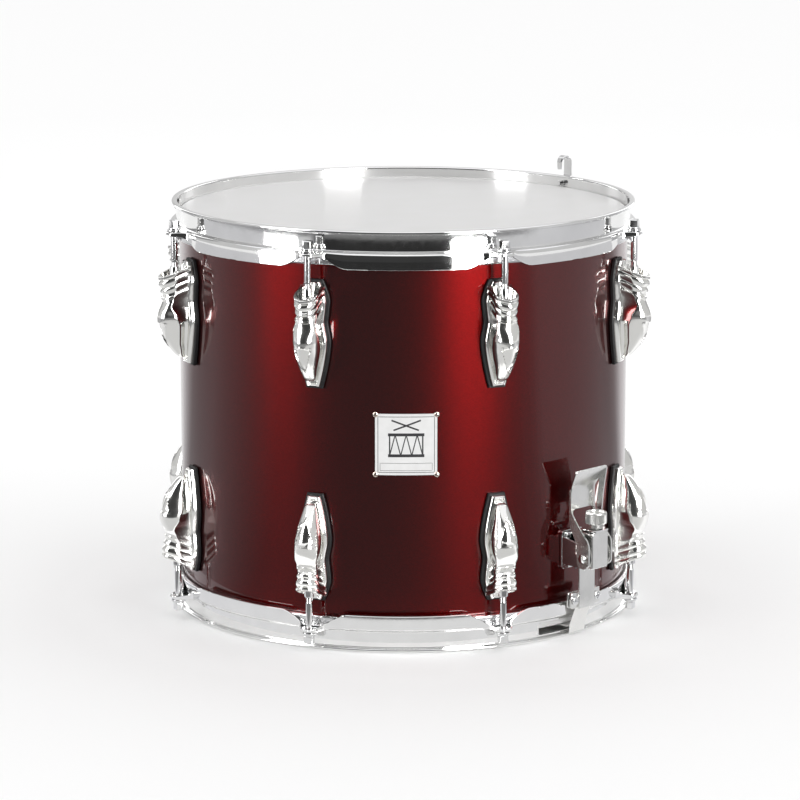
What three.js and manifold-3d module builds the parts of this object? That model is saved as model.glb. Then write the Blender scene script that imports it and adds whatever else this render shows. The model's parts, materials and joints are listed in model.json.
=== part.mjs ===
// Side drum for marching: a lacquered shell with two heads, two pressed steel hoops,
// sixteen tension rods in sixteen cast lugs, a throw-off snare strainer, a butt end
// and a sling hook. Millimetres, +Z up. The origin is on the axis, in the plane of the
// lower hoop's lip. The badge faces -Y, and an azimuth is counted from -Y towards +X.
import * as THREE from 'three';
import { mergeVertices } from 'three/addons/utils/BufferGeometryUtils.js';
import Module from 'manifold-3d';

const wasm = await Module();
wasm.setup();

// Driving dimensions. Heights are counted from the middle of the drum's height.
const HALF_HEIGHT = 160.8;
const RING_SEGMENTS = 48;
const GAP = 0.3;

const SHELL_RADIUS = 176.2;
const SHELL_WALL = 7;
const BEARING_EDGE = 151.5;

const FILM_THICKNESS = 0.5;
const FILM_RADIUS = SHELL_RADIUS + 0.25;
const FILM_SKIRT_END = 136;
const HEAD_TOP = BEARING_EDGE + GAP + FILM_THICKNESS;

const FLESH_HOOP = { inner: 177.2, outer: 181.6, low: 134.5, high: 143.1 };

const COLLAR_INNER = 177.25;
const COLLAR_OUTER = 178.4;
const LIP_OUTER = 181.9;
const LIP_HEIGHT = 2.9;
const FLANGE_TOP = 144.9;
const FLANGE_BOTTOM = 143.4;
const SKIRT_INNER = 182;
const SKIRT_OUTER = 183.6;
const SKIRT_EDGE = 132;
const ARCH_HALF_WIDTH = 28;

const ROD_COUNT = 8;
const ROD_FIRST_AZIMUTH = 22.5;
const ROD_CIRCLE = 191.2;
const ROD_RADIUS = 2.6;
const ROD_TIP = 88;
const ROD_HEAD = { width: 6.8, low: 148, high: 154 };
const WASHER = { radius: 5.6, low: FLANGE_TOP + GAP, high: 146.6 };
const EAR = { halfWidth: 8.5, hole: 3.4, tipRadius: 5.8 };

const LUG_BACK = SHELL_RADIUS + GAP;
const LUG_BASE_DEPTH = 7;
const LUG_AXIS = 184;
const LUG_WIDTH_RATIO = 0.47;

const BADGE = { size: 46.8, middle: -0.7, inner: 176.65, outer: 177.7 };

const STRAINER_AZIMUTH = 46;
const BUTT_AZIMUTH = STRAINER_AZIMUTH + 180;
const HOOK_AZIMUTH = 132;
const VENT_AZIMUTH = 180;

const RIBBON = { width: 18, thickness: 0.5, high: 124, level: 153.15, innerEnd: 141.5 };
const GATE = { sides: [-11, 36], high: 146.9, low: 156.3 };
const CLAMP = {
  halfWidth: 16.8,
  low: -136.5,
  high: -124,
  screwSpacing: 25.4,
  screwHole: 1.9,
  screwHead: 3.3,
  screwShank: 1.5,
};
const CLAMP_REAR = [187.2, 188.8];
const CLAMP_FRONT = [190, 191.9];

const LEVER_PIVOT = { radius: 200, height: -96, pin: 2, hole: 2.35 };
const THUMB_SCREW = { radius: 201.8, shank: 2.1, hole: 2.5 };

// Finishes.
const finish = (color, roughness, metalness) => ({ color, roughness, metalness });
const LACQUER = finish(0x6e1f22, 0.15, 0.4);
const CHROME = finish(0xd9dadb, 0.08, 1);
const STEEL = finish(0xa9abad, 0.3, 1);
const ALUMINIUM = finish(0xc9cacc, 0.25, 1);
const FILM = finish(0xe8e7e6, 0.35, 0);
const ENAMEL = finish(0xf1f1ef, 0.3, 0);
const RIBBON_WHITE = finish(0xf4f4f2, 0.45, 0);
const BRASS = finish(0xb99c5a, 0.3, 1);

// Solids.
function solidOf(geometry) {
  const plain = geometry.clone();
  plain.deleteAttribute('normal');
  plain.deleteAttribute('uv');
  const merged = mergeVertices(plain);
  return new wasm.Manifold(new wasm.Mesh({
    numProp: 3,
    vertProperties: new Float32Array(merged.attributes.position.array),
    triVerts: new Uint32Array(merged.index.array),
  }));
}

function geometryOf(solid) {
  const mesh = solid.getMesh();
  const geometry = new THREE.BufferGeometry();
  geometry.setAttribute('position', new THREE.BufferAttribute(mesh.vertProperties, 3));
  geometry.setIndex(new THREE.BufferAttribute(mesh.triVerts, 1));
  geometry.computeVertexNormals();
  return geometry;
}

const join = (...solids) => solids.reduce((whole, solid) => whole.add(solid));
const cut = (solid, ...tools) => tools.reduce((rest, tool) => rest.subtract(tool), solid);

// A block between two values on each axis.
function block(xRange, yRange, zRange) {
  const size = [xRange, yRange, zRange].map(([low, high]) => high - low);
  const middle = [xRange, yRange, zRange].map(([low, high]) => (low + high) / 2);
  return solidOf(new THREE.BoxGeometry(...size).translate(...middle));
}

// A solid of revolution about +Z from [radius, height] points listed upwards along the
// outside. A ring's profile closes on itself; the first segment corner is at azimuth 0.
function turned(points, segments) {
  const profile = points.map(([radius, height]) => new THREE.Vector2(radius, height));
  return solidOf(new THREE.LatheGeometry(profile, segments).rotateX(Math.PI / 2));
}

const ring = (points) => turned([...points, points[0]], RING_SEGMENTS);

// A round bar along +Z, +X or +Y between two values on that axis.
function bar(radius, [low, high], segments, place = [0, 0], axis = 'z') {
  const geometry = new THREE.CylinderGeometry(radius, radius, high - low, segments);
  const middle = (low + high) / 2;
  if (axis === 'x') {
    return solidOf(geometry.rotateZ(-Math.PI / 2).translate(middle, place[0], place[1]));
  }
  if (axis === 'y') {
    return solidOf(geometry.translate(place[0], middle, place[1]));
  }
  return solidOf(geometry.rotateX(Math.PI / 2).translate(place[0], place[1], middle));
}

// An outline in the plane across the shell's radius, as [sideways, up] points, given
// a depth along the radius.
function faceOutline(points, [near, far]) {
  const shape = new THREE.Shape(points.map(([side, up]) => new THREE.Vector2(side, up)));
  const geometry = new THREE.ExtrudeGeometry(shape, { depth: far - near, bevelEnabled: false });
  geometry.rotateX(Math.PI / 2).rotateZ(Math.PI / 2);
  return solidOf(geometry.translate(near, 0, 0));
}

// An outline in the plane of the axis, as [radius, height] points, given a width.
function sideOutline(points, [left, right]) {
  const shape = new THREE.Shape(points.map(([out, up]) => new THREE.Vector2(out, up)));
  const geometry = new THREE.ExtrudeGeometry(shape, { depth: right - left, bevelEnabled: false });
  return solidOf(geometry.rotateX(Math.PI / 2).translate(0, right, 0));
}

// The outline of a strip of one thickness whose middle follows the given points.
function stripOutline(points, thickness) {
  const route = points.map(([out, up]) => new THREE.Vector2(out, up));
  const steps = route.slice(1).map((point, i) => point.clone().sub(route[i]).normalize());
  const side = (sign) => route.map((point, i) => {
    const into = steps[Math.max(i - 1, 0)];
    const away = steps[Math.min(i, steps.length - 1)];
    const along = into.clone().add(away).normalize();
    const mitre = thickness / 2 / along.dot(into);
    return [point.x - sign * along.y * mitre, point.y + sign * along.x * mitre];
  });
  return [...side(-1), ...side(1).reverse()];
}

// The scene. Everything hangs in one group whose zero height is the drum's middle.
const drum = new THREE.Group();
const middle = new THREE.Group();
middle.position.z = HALF_HEIGHT;
drum.add(middle);

function piece(parent, name, solid, { color, roughness, metalness }) {
  const material = new THREE.MeshStandardMaterial({ color, roughness, metalness });
  const mesh = new THREE.Mesh(geometryOf(solid), material);
  mesh.name = name;
  parent.add(mesh);
}

// A frame whose +X points out of the shell at an azimuth. Turned over, it serves the
// lower half of the drum.
function station(azimuth, turnedOver = false) {
  const outer = new THREE.Group();
  outer.rotation.z = THREE.MathUtils.degToRad(azimuth - 90);
  const inner = new THREE.Group();
  inner.rotation.x = turnedOver ? Math.PI : 0;
  outer.add(inner);
  middle.add(outer);
  return inner;
}

function half(turnedOver) {
  const group = new THREE.Group();
  group.rotation.x = turnedOver ? Math.PI : 0;
  middle.add(group);
  return group;
}

// A cutter stood at an azimuth, for the pieces that are made in the drum's own frame.
const atAzimuth = (solid, azimuth) => solid.rotate([0, 0, azimuth - 90]);

const rodPitch = 360 / ROD_COUNT;
const rodAzimuths = Array.from({ length: ROD_COUNT }, (_, i) => ROD_FIRST_AZIMUTH + rodPitch * i);

// The drum's two halves carry the same parts, the lower ones turned over.
const HALVES = [['batter', false], ['snare', true]];

// Shell: a wooden tube with a bevelled bearing edge at each end and one vent hole.
const VENT = { hole: 6.9, outer: 6.5, bore: 5, flange: 9, flangeDepth: 1.2, hollowSide: 1 };

function shellSolid() {
  const inner = SHELL_RADIUS - SHELL_WALL;
  const upper = [
    [SHELL_RADIUS, BEARING_EDGE - 2.2],
    [SHELL_RADIUS - 2.2, BEARING_EDGE],
    [SHELL_RADIUS - 3.4, BEARING_EDGE],
    [inner, BEARING_EDGE - 3.5],
  ];
  const lower = upper.map(([radius, height]) => [radius, -height]).reverse();
  const vent = bar(VENT.hole, [inner - 5, SHELL_RADIUS + 5], 12, [0, 0], 'x');
  return cut(ring([...upper, ...lower]), atAzimuth(vent, VENT_AZIMUTH));
}

function ventSolid() {
  const outside = SHELL_RADIUS + GAP + VENT.flangeDepth;
  const inside = SHELL_RADIUS - SHELL_WALL - VENT.hollowSide - VENT.flangeDepth;
  const tube = bar(VENT.outer, [inside, outside], 12, [0, 0], 'x');
  const outerFlange = bar(VENT.flange, [outside - VENT.flangeDepth, outside], 12, [0, 0], 'x');
  const innerFlange = bar(VENT.flange, [inside, inside + VENT.flangeDepth], 12, [0, 0], 'x');
  const bore = bar(VENT.bore, [inside - 1, outside + 1], 12, [0, 0], 'x');
  return cut(join(tube, outerFlange, innerFlange), bore);
}

piece(middle, 'shell', shellSolid(), LACQUER);
piece(station(VENT_AZIMUTH), 'vent_grommet', ventSolid(), CHROME);

// Heads: a film drawn over the bearing edge, held by a flesh hoop round its skirt.
function filmSolid() {
  const inside = HEAD_TOP - FILM_THICKNESS;
  const bend = 2.2;
  return turned([
    [0, inside],
    [FILM_RADIUS - bend, inside],
    [FILM_RADIUS, inside - bend],
    [FILM_RADIUS, FILM_SKIRT_END],
    [FILM_RADIUS + 0.45, FILM_SKIRT_END],
    [FILM_RADIUS + 0.45, inside - bend + 0.2],
    [FILM_RADIUS - bend + 0.2, HEAD_TOP],
    [0, HEAD_TOP],
  ], RING_SEGMENTS);
}

function fleshHoopSolid() {
  return ring([
    [FLESH_HOOP.inner, FLESH_HOOP.low],
    [FLESH_HOOP.outer, FLESH_HOOP.low],
    [FLESH_HOOP.outer, FLESH_HOOP.high],
    [FLESH_HOOP.inner, FLESH_HOOP.high],
  ]);
}

for (const [side, turnedOver] of HALVES) {
  piece(half(turnedOver), `${side}_head_film`, filmSolid(), FILM);
  piece(half(turnedOver), `${side}_flesh_hoop`, fleshHoopSolid(), ALUMINIUM);
}

// Counter hoops: a collar with a rolled lip, a flange over the flesh hoop and a skirt
// round it. At each rod the flange runs out to an ear and the skirt is cut in an arch.
function hoopRingSolid() {
  const top = HALF_HEIGHT;
  return ring([
    [COLLAR_INNER, FLANGE_BOTTOM],
    [SKIRT_INNER, FLANGE_BOTTOM],
    [SKIRT_INNER + 0.2, SKIRT_EDGE],
    [SKIRT_OUTER, SKIRT_EDGE],
    [SKIRT_OUTER - 0.3, FLANGE_TOP - 1.4],
    [SKIRT_OUTER - 1.4, FLANGE_TOP],
    [COLLAR_OUTER, FLANGE_TOP + 0.5],
    [COLLAR_OUTER, top - LIP_HEIGHT],
    [LIP_OUTER, top - LIP_HEIGHT],
    [LIP_OUTER, top - 0.8],
    [LIP_OUTER - 0.8, top],
    [COLLAR_INNER, top],
  ]);
}

function earSolid() {
  const tip = Array.from({ length: 5 }, (_, i) => {
    const angle = -Math.PI / 2 + (Math.PI / 4) * i;
    return [ROD_CIRCLE + EAR.tipRadius * Math.cos(angle), EAR.tipRadius * Math.sin(angle)];
  });
  const root = SKIRT_INNER - 1.5;
  const outline = [[root, EAR.halfWidth], [root, -EAR.halfWidth], ...tip];
  const shape = new THREE.Shape(outline.map(([x, y]) => new THREE.Vector2(x, y)));
  const depth = FLANGE_TOP - FLANGE_BOTTOM;
  const plate = new THREE.ExtrudeGeometry(shape, { depth, bevelEnabled: false });
  return solidOf(plate.translate(0, 0, FLANGE_BOTTOM));
}

function archSolid() {
  const height = 142.4 - SKIRT_EDGE;
  const rightSide = [1, 0.78, 0.54, 0.33, 0.12].map((share) => [
    ARCH_HALF_WIDTH * share,
    SKIRT_EDGE + (height * (1 + Math.cos(Math.PI * share))) / 2,
  ]);
  rightSide[0][1] -= 1;
  const leftSide = rightSide.map(([side, up]) => [-side, up]).reverse();
  return faceOutline([...rightSide, ...leftSide], [SKIRT_INNER - 0.5, SKIRT_OUTER + 2]);
}

function hoopSolid(extraCuts) {
  const ears = rodAzimuths.map((azimuth) => atAzimuth(earSolid(), azimuth));
  const arches = rodAzimuths.map((azimuth) => atAzimuth(archSolid(), azimuth));
  const rodHole = bar(EAR.hole, [FLANGE_BOTTOM - 1, FLANGE_TOP + 1], 8, [ROD_CIRCLE, 0]);
  const holes = rodAzimuths.map((azimuth) => atAzimuth(rodHole, azimuth));
  return cut(join(cut(hoopRingSolid(), ...arches), ...ears), ...holes, ...extraCuts);
}

const HOOK_SCREW = { height: 155.2, head: 3.2, shank: 1.6, hole: 1.95, nut: 2.55, tip: 172.6 };
const screwLine = [0, HOOK_SCREW.height];
const hookScrewHole = bar(HOOK_SCREW.hole, [COLLAR_INNER - 3, COLLAR_OUTER + 1], 8, screwLine, 'x');
piece(half(false), 'batter_counter_hoop', hoopSolid([atAzimuth(hookScrewHole, HOOK_AZIMUTH)]), CHROME);

// The lower hoop is the same pressing with two gates in its collar for the ribbons, each
// longer on one side of its ribbon.
const gate = block([COLLAR_INNER - 3, COLLAR_OUTER + 1], GATE.sides, [GATE.high, GATE.low]);
const gateAzimuths = [STRAINER_AZIMUTH, BUTT_AZIMUTH].map((azimuth) => 180 - azimuth);
const gates = gateAzimuths.map((azimuth) => atAzimuth(gate, azimuth));
piece(half(true), 'snare_counter_hoop', hoopSolid(gates), CHROME);

// Lugs: a flat waisted base under a vase whose open mouth takes the tension rod.
function lugSolid() {
  const rightSide = [[6.6, 40.2], [9.6, 52], [13.1, 77], [10.9, 91], [12.4, 108], [7, 123.3]];
  const leftSide = rightSide.map(([side, up]) => [-side, up]).reverse();
  const base = faceOutline([...rightSide, ...leftSide], [LUG_BACK, LUG_BACK + LUG_BASE_DEPTH]);
  const vase = turned([
    [0, 46.5],
    [3.5, 47.5],
    [13.5, 57.5],
    [20, 69],
    [21.5, 78],
    [17.4, 91],
    [18.6, 95],
    [17.8, 98.5],
    [20.2, 103],
    [19.8, 110.4],
    [0, 110.4],
  ], 10);
  const front = block([LUG_BACK + 3, 210], [-15, 15], [40, 120]);
  const body = vase.scale([1, LUG_WIDTH_RATIO, 1]).translate([LUG_AXIS, 0, 0]).intersect(front);
  const cup = bar(6.2, [102, 111], 8, [ROD_CIRCLE, 0]);
  const bore = bar(3.5, [ROD_TIP - 2, 104], 8, [ROD_CIRCLE, 0]);
  return cut(join(base, body), cup, bore);
}

// Tension rods: a square key head on a collar and washer, threaded into the lug.
function rodSolid() {
  const shaft = turned([
    [0, ROD_TIP],
    [ROD_RADIUS, ROD_TIP + 1],
    [ROD_RADIUS, WASHER.low],
    [WASHER.radius, WASHER.low],
    [WASHER.radius, WASHER.high],
    [ROD_HEAD.width / 2 + 1.2, WASHER.high],
    [ROD_HEAD.width / 2 + 1.2, ROD_HEAD.low],
    [0, ROD_HEAD.low],
  ], 8);
  const side = [-ROD_HEAD.width / 2, ROD_HEAD.width / 2];
  return join(shaft, block(side, side, [ROD_HEAD.low - 0.5, ROD_HEAD.high]));
}

for (const [side, turnedOver] of HALVES) {
  rodAzimuths.forEach((azimuth, i) => {
    const place = station(azimuth, turnedOver);
    piece(place, `${side}_lug_${i + 1}`, lugSolid(), CHROME);
    const rodPlace = new THREE.Group();
    rodPlace.position.x = ROD_CIRCLE;
    place.add(rodPlace);
    piece(rodPlace, `${side}_tension_rod_${i + 1}`, rodSolid(), STEEL);
  });
}

// Badge: a thin enamelled plate bent to the shell.
function badgeSolid() {
  const halfAngle = BADGE.size / 2 / BADGE.outer;
  const angles = [-1, -0.5, 0, 0.5, 1].map((share) => share * halfAngle);
  const arc = (radius) => angles.map((angle) => [radius * Math.cos(angle), radius * Math.sin(angle)]);
  const outline = [...arc(BADGE.outer), ...arc(BADGE.inner).reverse()];
  const shape = new THREE.Shape(outline.map(([x, y]) => new THREE.Vector2(x, y)));
  const plate = new THREE.ExtrudeGeometry(shape, { depth: BADGE.size, bevelEnabled: false });
  return solidOf(plate.translate(0, 0, BADGE.middle - BADGE.size / 2));
}

piece(station(0), 'badge_plate', badgeSolid(), ENAMEL);

// Sling hook: a steel strap bolted through the collar, curled in over the rim and down.
const HOOK = {
  width: 10.4,
  thickness: 1.8,
  stem: [182.3, 184.1],
  foot: { depth: [178.7, 184.1], heights: [151.2, 157.5] },
  curl: 4.8,
  tip: 177.7,
  end: 166.6,
};

function hookSolid() {
  const stemMiddle = (HOOK.stem[0] + HOOK.stem[1]) / 2;
  const curlHeight = HOOK.tip - HOOK.curl - HOOK.thickness / 2;
  const curl = Array.from({ length: 7 }, (_, i) => {
    const angle = (Math.PI / 6) * i;
    return [stemMiddle - HOOK.curl + HOOK.curl * Math.cos(angle), curlHeight + HOOK.curl * Math.sin(angle)];
  });
  const sides = [-HOOK.width / 2, HOOK.width / 2];
  const { depth, heights } = HOOK.foot;
  const route = [[stemMiddle, heights[1] - 1.5], ...curl, [stemMiddle - 2 * HOOK.curl, HOOK.end]];
  const strap = sideOutline(stripOutline(route, HOOK.thickness), sides);
  const foot = block(depth, sides, heights);
  const hole = bar(HOOK_SCREW.hole, [depth[0] - 1, depth[1] + 1], 8, screwLine, 'x');
  return cut(join(strap, foot), hole);
}

const hookPlace = station(HOOK_AZIMUTH);
const hookFront = HOOK.foot.depth[1];
const hookScrew = join(
  bar(HOOK_SCREW.head, [hookFront + GAP, hookFront + 2.2], 10, screwLine, 'x'),
  bar(HOOK_SCREW.shank, [HOOK_SCREW.tip, hookFront + 1], 8, screwLine, 'x'),
);
const hookNut = cut(
  bar(HOOK_SCREW.nut, [HOOK_SCREW.tip + 0.8, COLLAR_INNER - 0.9], 6, screwLine, 'x'),
  bar(HOOK_SCREW.hole, [HOOK_SCREW.tip, COLLAR_OUTER], 8, screwLine, 'x'),
);
piece(hookPlace, 'sling_hook', hookSolid(), STEEL);
piece(hookPlace, 'sling_hook_screw', hookScrew, STEEL);
piece(hookPlace, 'sling_hook_nut', hookNut, STEEL);

// Snare strainer, at its station on the shell.
const strainer = station(STRAINER_AZIMUTH);
const bothSides = (make) => [make(-1), make(1)];
const mirrored = (sign, [near, far]) => (sign > 0 ? [near, far] : [-far, -near]);
const pivotLine = [LEVER_PIVOT.radius, LEVER_PIVOT.height];

// Base: a plate on the shell with two cheeks that carry the lever's pivots.
const CHEEK = [10.2, 11.8];
const ARM = [12.3, 14];
const MOUNTING = [SHELL_RADIUS + 0.4, 178.6];
const BASE = { halfWidth: 12.2, heights: [-108, -78] };
const RIVET = { head: 3.4, end: 15.4 };

function strainerBaseSolid() {
  const plate = block(MOUNTING, [-BASE.halfWidth, BASE.halfWidth], BASE.heights);
  const cheek = [[178, -104], [202, -104], [205, -98], [203, -89], [192, -85], [178, -82]];
  const cheeks = bothSides((sign) => sideOutline(cheek, mirrored(sign, CHEEK)));
  const pinEnds = [CHEEK[1] - 0.5, RIVET.end - 0.4];
  const headEnds = [ARM[1] + GAP, RIVET.end];
  const pins = bothSides((sign) => bar(LEVER_PIVOT.pin, mirrored(sign, pinEnds), 10, pivotLine, 'y'));
  const heads = bothSides((sign) => bar(RIVET.head, mirrored(sign, headEnds), 10, pivotLine, 'y'));
  return join(plate, ...cheeks, ...pins, ...heads);
}

// Throw-off lever: a fork with two cranked arms and a finger flap that leans out.
const LEVER_FACE = { depth: [187, 188.6], heights: [-59.4, -42.8] };
const FLAP = { lean: 31.5, length: 17.8, lowHalfWidth: 13.9, highHalfWidth: 18.3, thickness: 1.6 };

function leverSolid() {
  const arm = [
    [188.6, -44],
    [188.6, -62],
    [196, -72],
    [206.5, -84],
    [206.5, -101],
    [203.5, -104],
    [197, -104],
    [194.5, -101],
    [194.5, -86],
    [186.4, -72],
    [186.4, -44],
  ];
  const arms = bothSides((sign) => sideOutline(arm, mirrored(sign, ARM)));
  const face = block(LEVER_FACE.depth, [-ARM[1], ARM[1]], LEVER_FACE.heights);
  const trapezoid = [
    [-FLAP.lowHalfWidth, 0],
    [FLAP.lowHalfWidth, 0],
    [FLAP.highHalfWidth, FLAP.length],
    [-FLAP.highHalfWidth, FLAP.length],
  ];
  const flap = faceOutline(trapezoid, [0, FLAP.thickness])
    .rotate([0, FLAP.lean, 0])
    .translate([LEVER_FACE.depth[0] + 0.1, 0, LEVER_FACE.heights[1] - 0.6]);
  const holeEnds = [ARM[0] - 1, ARM[1] + 1];
  const holes = bothSides((sign) => bar(LEVER_PIVOT.hole, mirrored(sign, holeEnds), 10, pivotLine, 'y'));
  return cut(join(...arms, face, flap), ...holes);
}

// Carriage: slides between the cheeks and carries the thumb screw on its top shelf.
const SHELF = { depth: [189, 208], halfWidth: 8.6, heights: [-76, -74] };

function carriageSolid() {
  const back = block([188.6, 190.2], [-9.6, 9.6], [-106, SHELF.heights[1]]);
  const shelf = block(SHELF.depth, [-SHELF.halfWidth, SHELF.halfWidth], SHELF.heights);
  const through = [SHELF.heights[0] - 1, SHELF.heights[1] + 1];
  const hole = bar(THUMB_SCREW.hole, through, 10, [THUMB_SCREW.radius, 0]);
  return cut(join(back, shelf), hole);
}

// Thumb screw: a knurled knob over a neck that stands on the shelf, and a shank down
// into the slider.
const KNOB = { radius: 8.3, neck: 5.6, foot: SHELF.heights[1] + GAP, low: -69.8, top: -60.8, shankEnd: -92 };
const thumbScrew = turned([
  [0, KNOB.shankEnd],
  [THUMB_SCREW.shank, KNOB.shankEnd + 1],
  [THUMB_SCREW.shank, KNOB.foot],
  [KNOB.neck, KNOB.foot],
  [KNOB.neck, KNOB.low - 0.4],
  [KNOB.radius, KNOB.low],
  [KNOB.radius, KNOB.top - 0.8],
  [KNOB.radius - 0.9, KNOB.top],
  [0, KNOB.top],
], 14).translate([THUMB_SCREW.radius, 0, 0]);

// Ribbon clamps: two screws either side of the ribbon pull two plates together.
const clampSides = [-CLAMP.halfWidth, CLAMP.halfWidth];
const screwSides = [-CLAMP.screwSpacing / 2, CLAMP.screwSpacing / 2];
const screwHeight = (CLAMP.low + CLAMP.high) / 2;

function clampPlate(depth) {
  const through = [depth[0] - 1, depth[1] + 1];
  const holes = screwSides.map((side) => bar(CLAMP.screwHole, through, 8, [side, screwHeight], 'x'));
  return cut(block(depth, clampSides, [CLAMP.low, CLAMP.high]), ...holes);
}

const clampScrew = (side) => join(
  bar(CLAMP.screwHead, [CLAMP_FRONT[1] + GAP, CLAMP_FRONT[1] + 2.3], 10, [side, screwHeight], 'x'),
  bar(CLAMP.screwShank, [CLAMP_REAR[0] - 1.2, CLAMP_FRONT[1] + 1], 8, [side, screwHeight], 'x'),
);

// Slider: the block on the thumb screw, with a flat bar down to the front clamp plate.
const SLIDER = { depth: [196.6, 206.3], halfWidth: 9.3, low: -104.5, high: SHELF.heights[0] - 0.6 };
const FLAT = { sides: [-9, 9], high: -98, low: CLAMP.low - 0.5, front: 193.5 };

function sliderSolid() {
  const body = block(SLIDER.depth, [-SLIDER.halfWidth, SLIDER.halfWidth], [SLIDER.low, SLIDER.high]);
  const link = block([CLAMP_FRONT[1], SLIDER.depth[0] + 0.4], FLAT.sides, [SLIDER.low, FLAT.high]);
  const flat = block([CLAMP_FRONT[1] - 0.2, FLAT.front], FLAT.sides, [FLAT.low, FLAT.high]);
  const hole = bar(THUMB_SCREW.hole, [KNOB.shankEnd - 2, SLIDER.high + 0.6], 10, [THUMB_SCREW.radius, 0]);
  return cut(join(body, link, flat, clampPlate(CLAMP_FRONT)), hole);
}

piece(strainer, 'strainer_base', strainerBaseSolid(), CHROME);
piece(strainer, 'throw_off_lever', leverSolid(), CHROME);
piece(strainer, 'strainer_carriage', carriageSolid(), CHROME);
piece(strainer, 'snare_thumb_screw', thumbScrew, CHROME);
piece(strainer, 'snare_slider', sliderSolid(), CHROME);
piece(strainer, 'ribbon_clamp_plate', clampPlate(CLAMP_REAR), CHROME);
piece(strainer, 'ribbon_clamp_screw_left', clampScrew(screwSides[0]), STEEL);
piece(strainer, 'ribbon_clamp_screw_right', clampScrew(screwSides[1]), STEEL);

// Ribbons: from a clamp down past the hoop and in through its gate under the head.
// The front one's free end hangs on over the lip.
const ribbonSides = [-RIBBON.width / 2, RIBBON.width / 2];
const ribbonRoute = [
  [189.35, -RIBBON.high],
  [189.35, -137.5],
  [184.2, -150],
  [183, -152.1],
  [181, -RIBBON.level],
  [RIBBON.innerEnd, -RIBBON.level],
];
const ribbonTail = [[186.2, -145.15], [184.1, -150.3], [183.2, -158]];
const ribbonStrip = (route) => sideOutline(stripOutline(route, RIBBON.thickness), ribbonSides);
piece(strainer, 'snare_ribbon_front', join(ribbonStrip(ribbonRoute), ribbonStrip(ribbonTail)), RIBBON_WHITE);

// Snare wires: a band of wires between two end plates, under the lower head.
const WIRES = { count: 7, bandWidth: 40, thickness: 1.6, halfLength: 140, top: -152.8 };

function wiresSolid() {
  const level = [WIRES.top - WIRES.thickness, WIRES.top];
  const pitch = (WIRES.bandWidth - WIRES.thickness) / (WIRES.count - 1);
  const wires = Array.from({ length: WIRES.count }, (_, i) => {
    const side = -WIRES.bandWidth / 2 + pitch * i;
    return block([-WIRES.halfLength, WIRES.halfLength], [side, side + WIRES.thickness], level);
  });
  const plates = bothSides((sign) => block(
    mirrored(sign, [WIRES.halfLength - 1, WIRES.halfLength + 8]),
    [-WIRES.bandWidth / 2, WIRES.bandWidth / 2],
    [-154.7, -153.7],
  ));
  return join(...wires, ...plates);
}

piece(strainer, 'snare_wires', wiresSolid(), BRASS);

// Butt end: a bracket on the far side of the shell that holds the rear ribbon.
const butt = station(BUTT_AZIMUTH);

function buttBracketSolid() {
  const plate = block(MOUNTING, [-14, 14], [-128, -94]);
  const web = block([MOUNTING[1] - 0.6, CLAMP_REAR[1] - 0.8], FLAT.sides, [-116, -113.5]);
  const front = block(CLAMP_REAR, FLAT.sides, [CLAMP.high - 1, -112]);
  return join(plate, web, front, clampPlate(CLAMP_REAR));
}

piece(butt, 'butt_bracket', buttBracketSolid(), CHROME);
piece(butt, 'butt_clamp_bar', clampPlate(CLAMP_FRONT), CHROME);
piece(butt, 'butt_clamp_screw_left', clampScrew(screwSides[0]), STEEL);
piece(butt, 'butt_clamp_screw_right', clampScrew(screwSides[1]), STEEL);
piece(butt, 'snare_ribbon_rear', ribbonStrip(ribbonRoute), RIBBON_WHITE);

export default drum;
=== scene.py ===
"""Looks of a marching side drum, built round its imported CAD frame.

Lengths in the builders are millimetres. A builder works in the frame of a station on the shell:
+X out along the radius, +Y along the rim, +Z up, with heights from the middle of the drum's height.
A matrix from place() then carries the mesh into the row frame, in metres.
"""

import json
from math import atan2, cos, degrees, exp, hypot, pi, radians, sin

import bmesh
import bpy
from mathutils import Matrix, Vector

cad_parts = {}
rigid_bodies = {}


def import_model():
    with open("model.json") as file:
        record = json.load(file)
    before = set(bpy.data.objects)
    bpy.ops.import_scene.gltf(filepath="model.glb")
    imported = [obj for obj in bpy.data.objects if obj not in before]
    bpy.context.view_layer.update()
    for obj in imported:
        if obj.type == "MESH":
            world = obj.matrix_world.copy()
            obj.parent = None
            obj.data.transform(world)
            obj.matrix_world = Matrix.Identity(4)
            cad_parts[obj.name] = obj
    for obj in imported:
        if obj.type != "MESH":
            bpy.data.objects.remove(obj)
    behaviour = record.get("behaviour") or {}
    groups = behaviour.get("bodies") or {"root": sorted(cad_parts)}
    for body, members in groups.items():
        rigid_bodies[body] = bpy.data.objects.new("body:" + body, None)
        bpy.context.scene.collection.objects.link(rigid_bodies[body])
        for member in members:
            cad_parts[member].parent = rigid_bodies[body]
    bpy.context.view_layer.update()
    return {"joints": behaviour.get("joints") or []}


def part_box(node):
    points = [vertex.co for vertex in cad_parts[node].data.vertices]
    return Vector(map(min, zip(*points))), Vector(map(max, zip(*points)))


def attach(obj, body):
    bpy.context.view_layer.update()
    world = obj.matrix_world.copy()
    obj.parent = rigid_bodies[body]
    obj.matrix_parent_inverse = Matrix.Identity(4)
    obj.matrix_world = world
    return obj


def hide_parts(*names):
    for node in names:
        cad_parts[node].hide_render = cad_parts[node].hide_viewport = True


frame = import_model()

MM = 0.001
JOINTS = {joint["name"]: joint for joint in frame["joints"]}


def size_of(node):
    """A CAD node's lowest and highest corner in millimetres."""
    return [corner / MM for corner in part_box(node)]


def azimuth_of(point):
    """The azimuth of a point round the drum's axis, from the badge side towards +X."""
    return degrees(atan2(point[0], -point[1]))


def joint_station(name):
    """A joint's radius and azimuth round the drum's axis, and its height from the middle."""
    x, y, z = JOINTS[name]["pos_m"]
    return hypot(x, y) / MM, azimuth_of((x, y)), z / MM - HALF_HEIGHT


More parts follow.
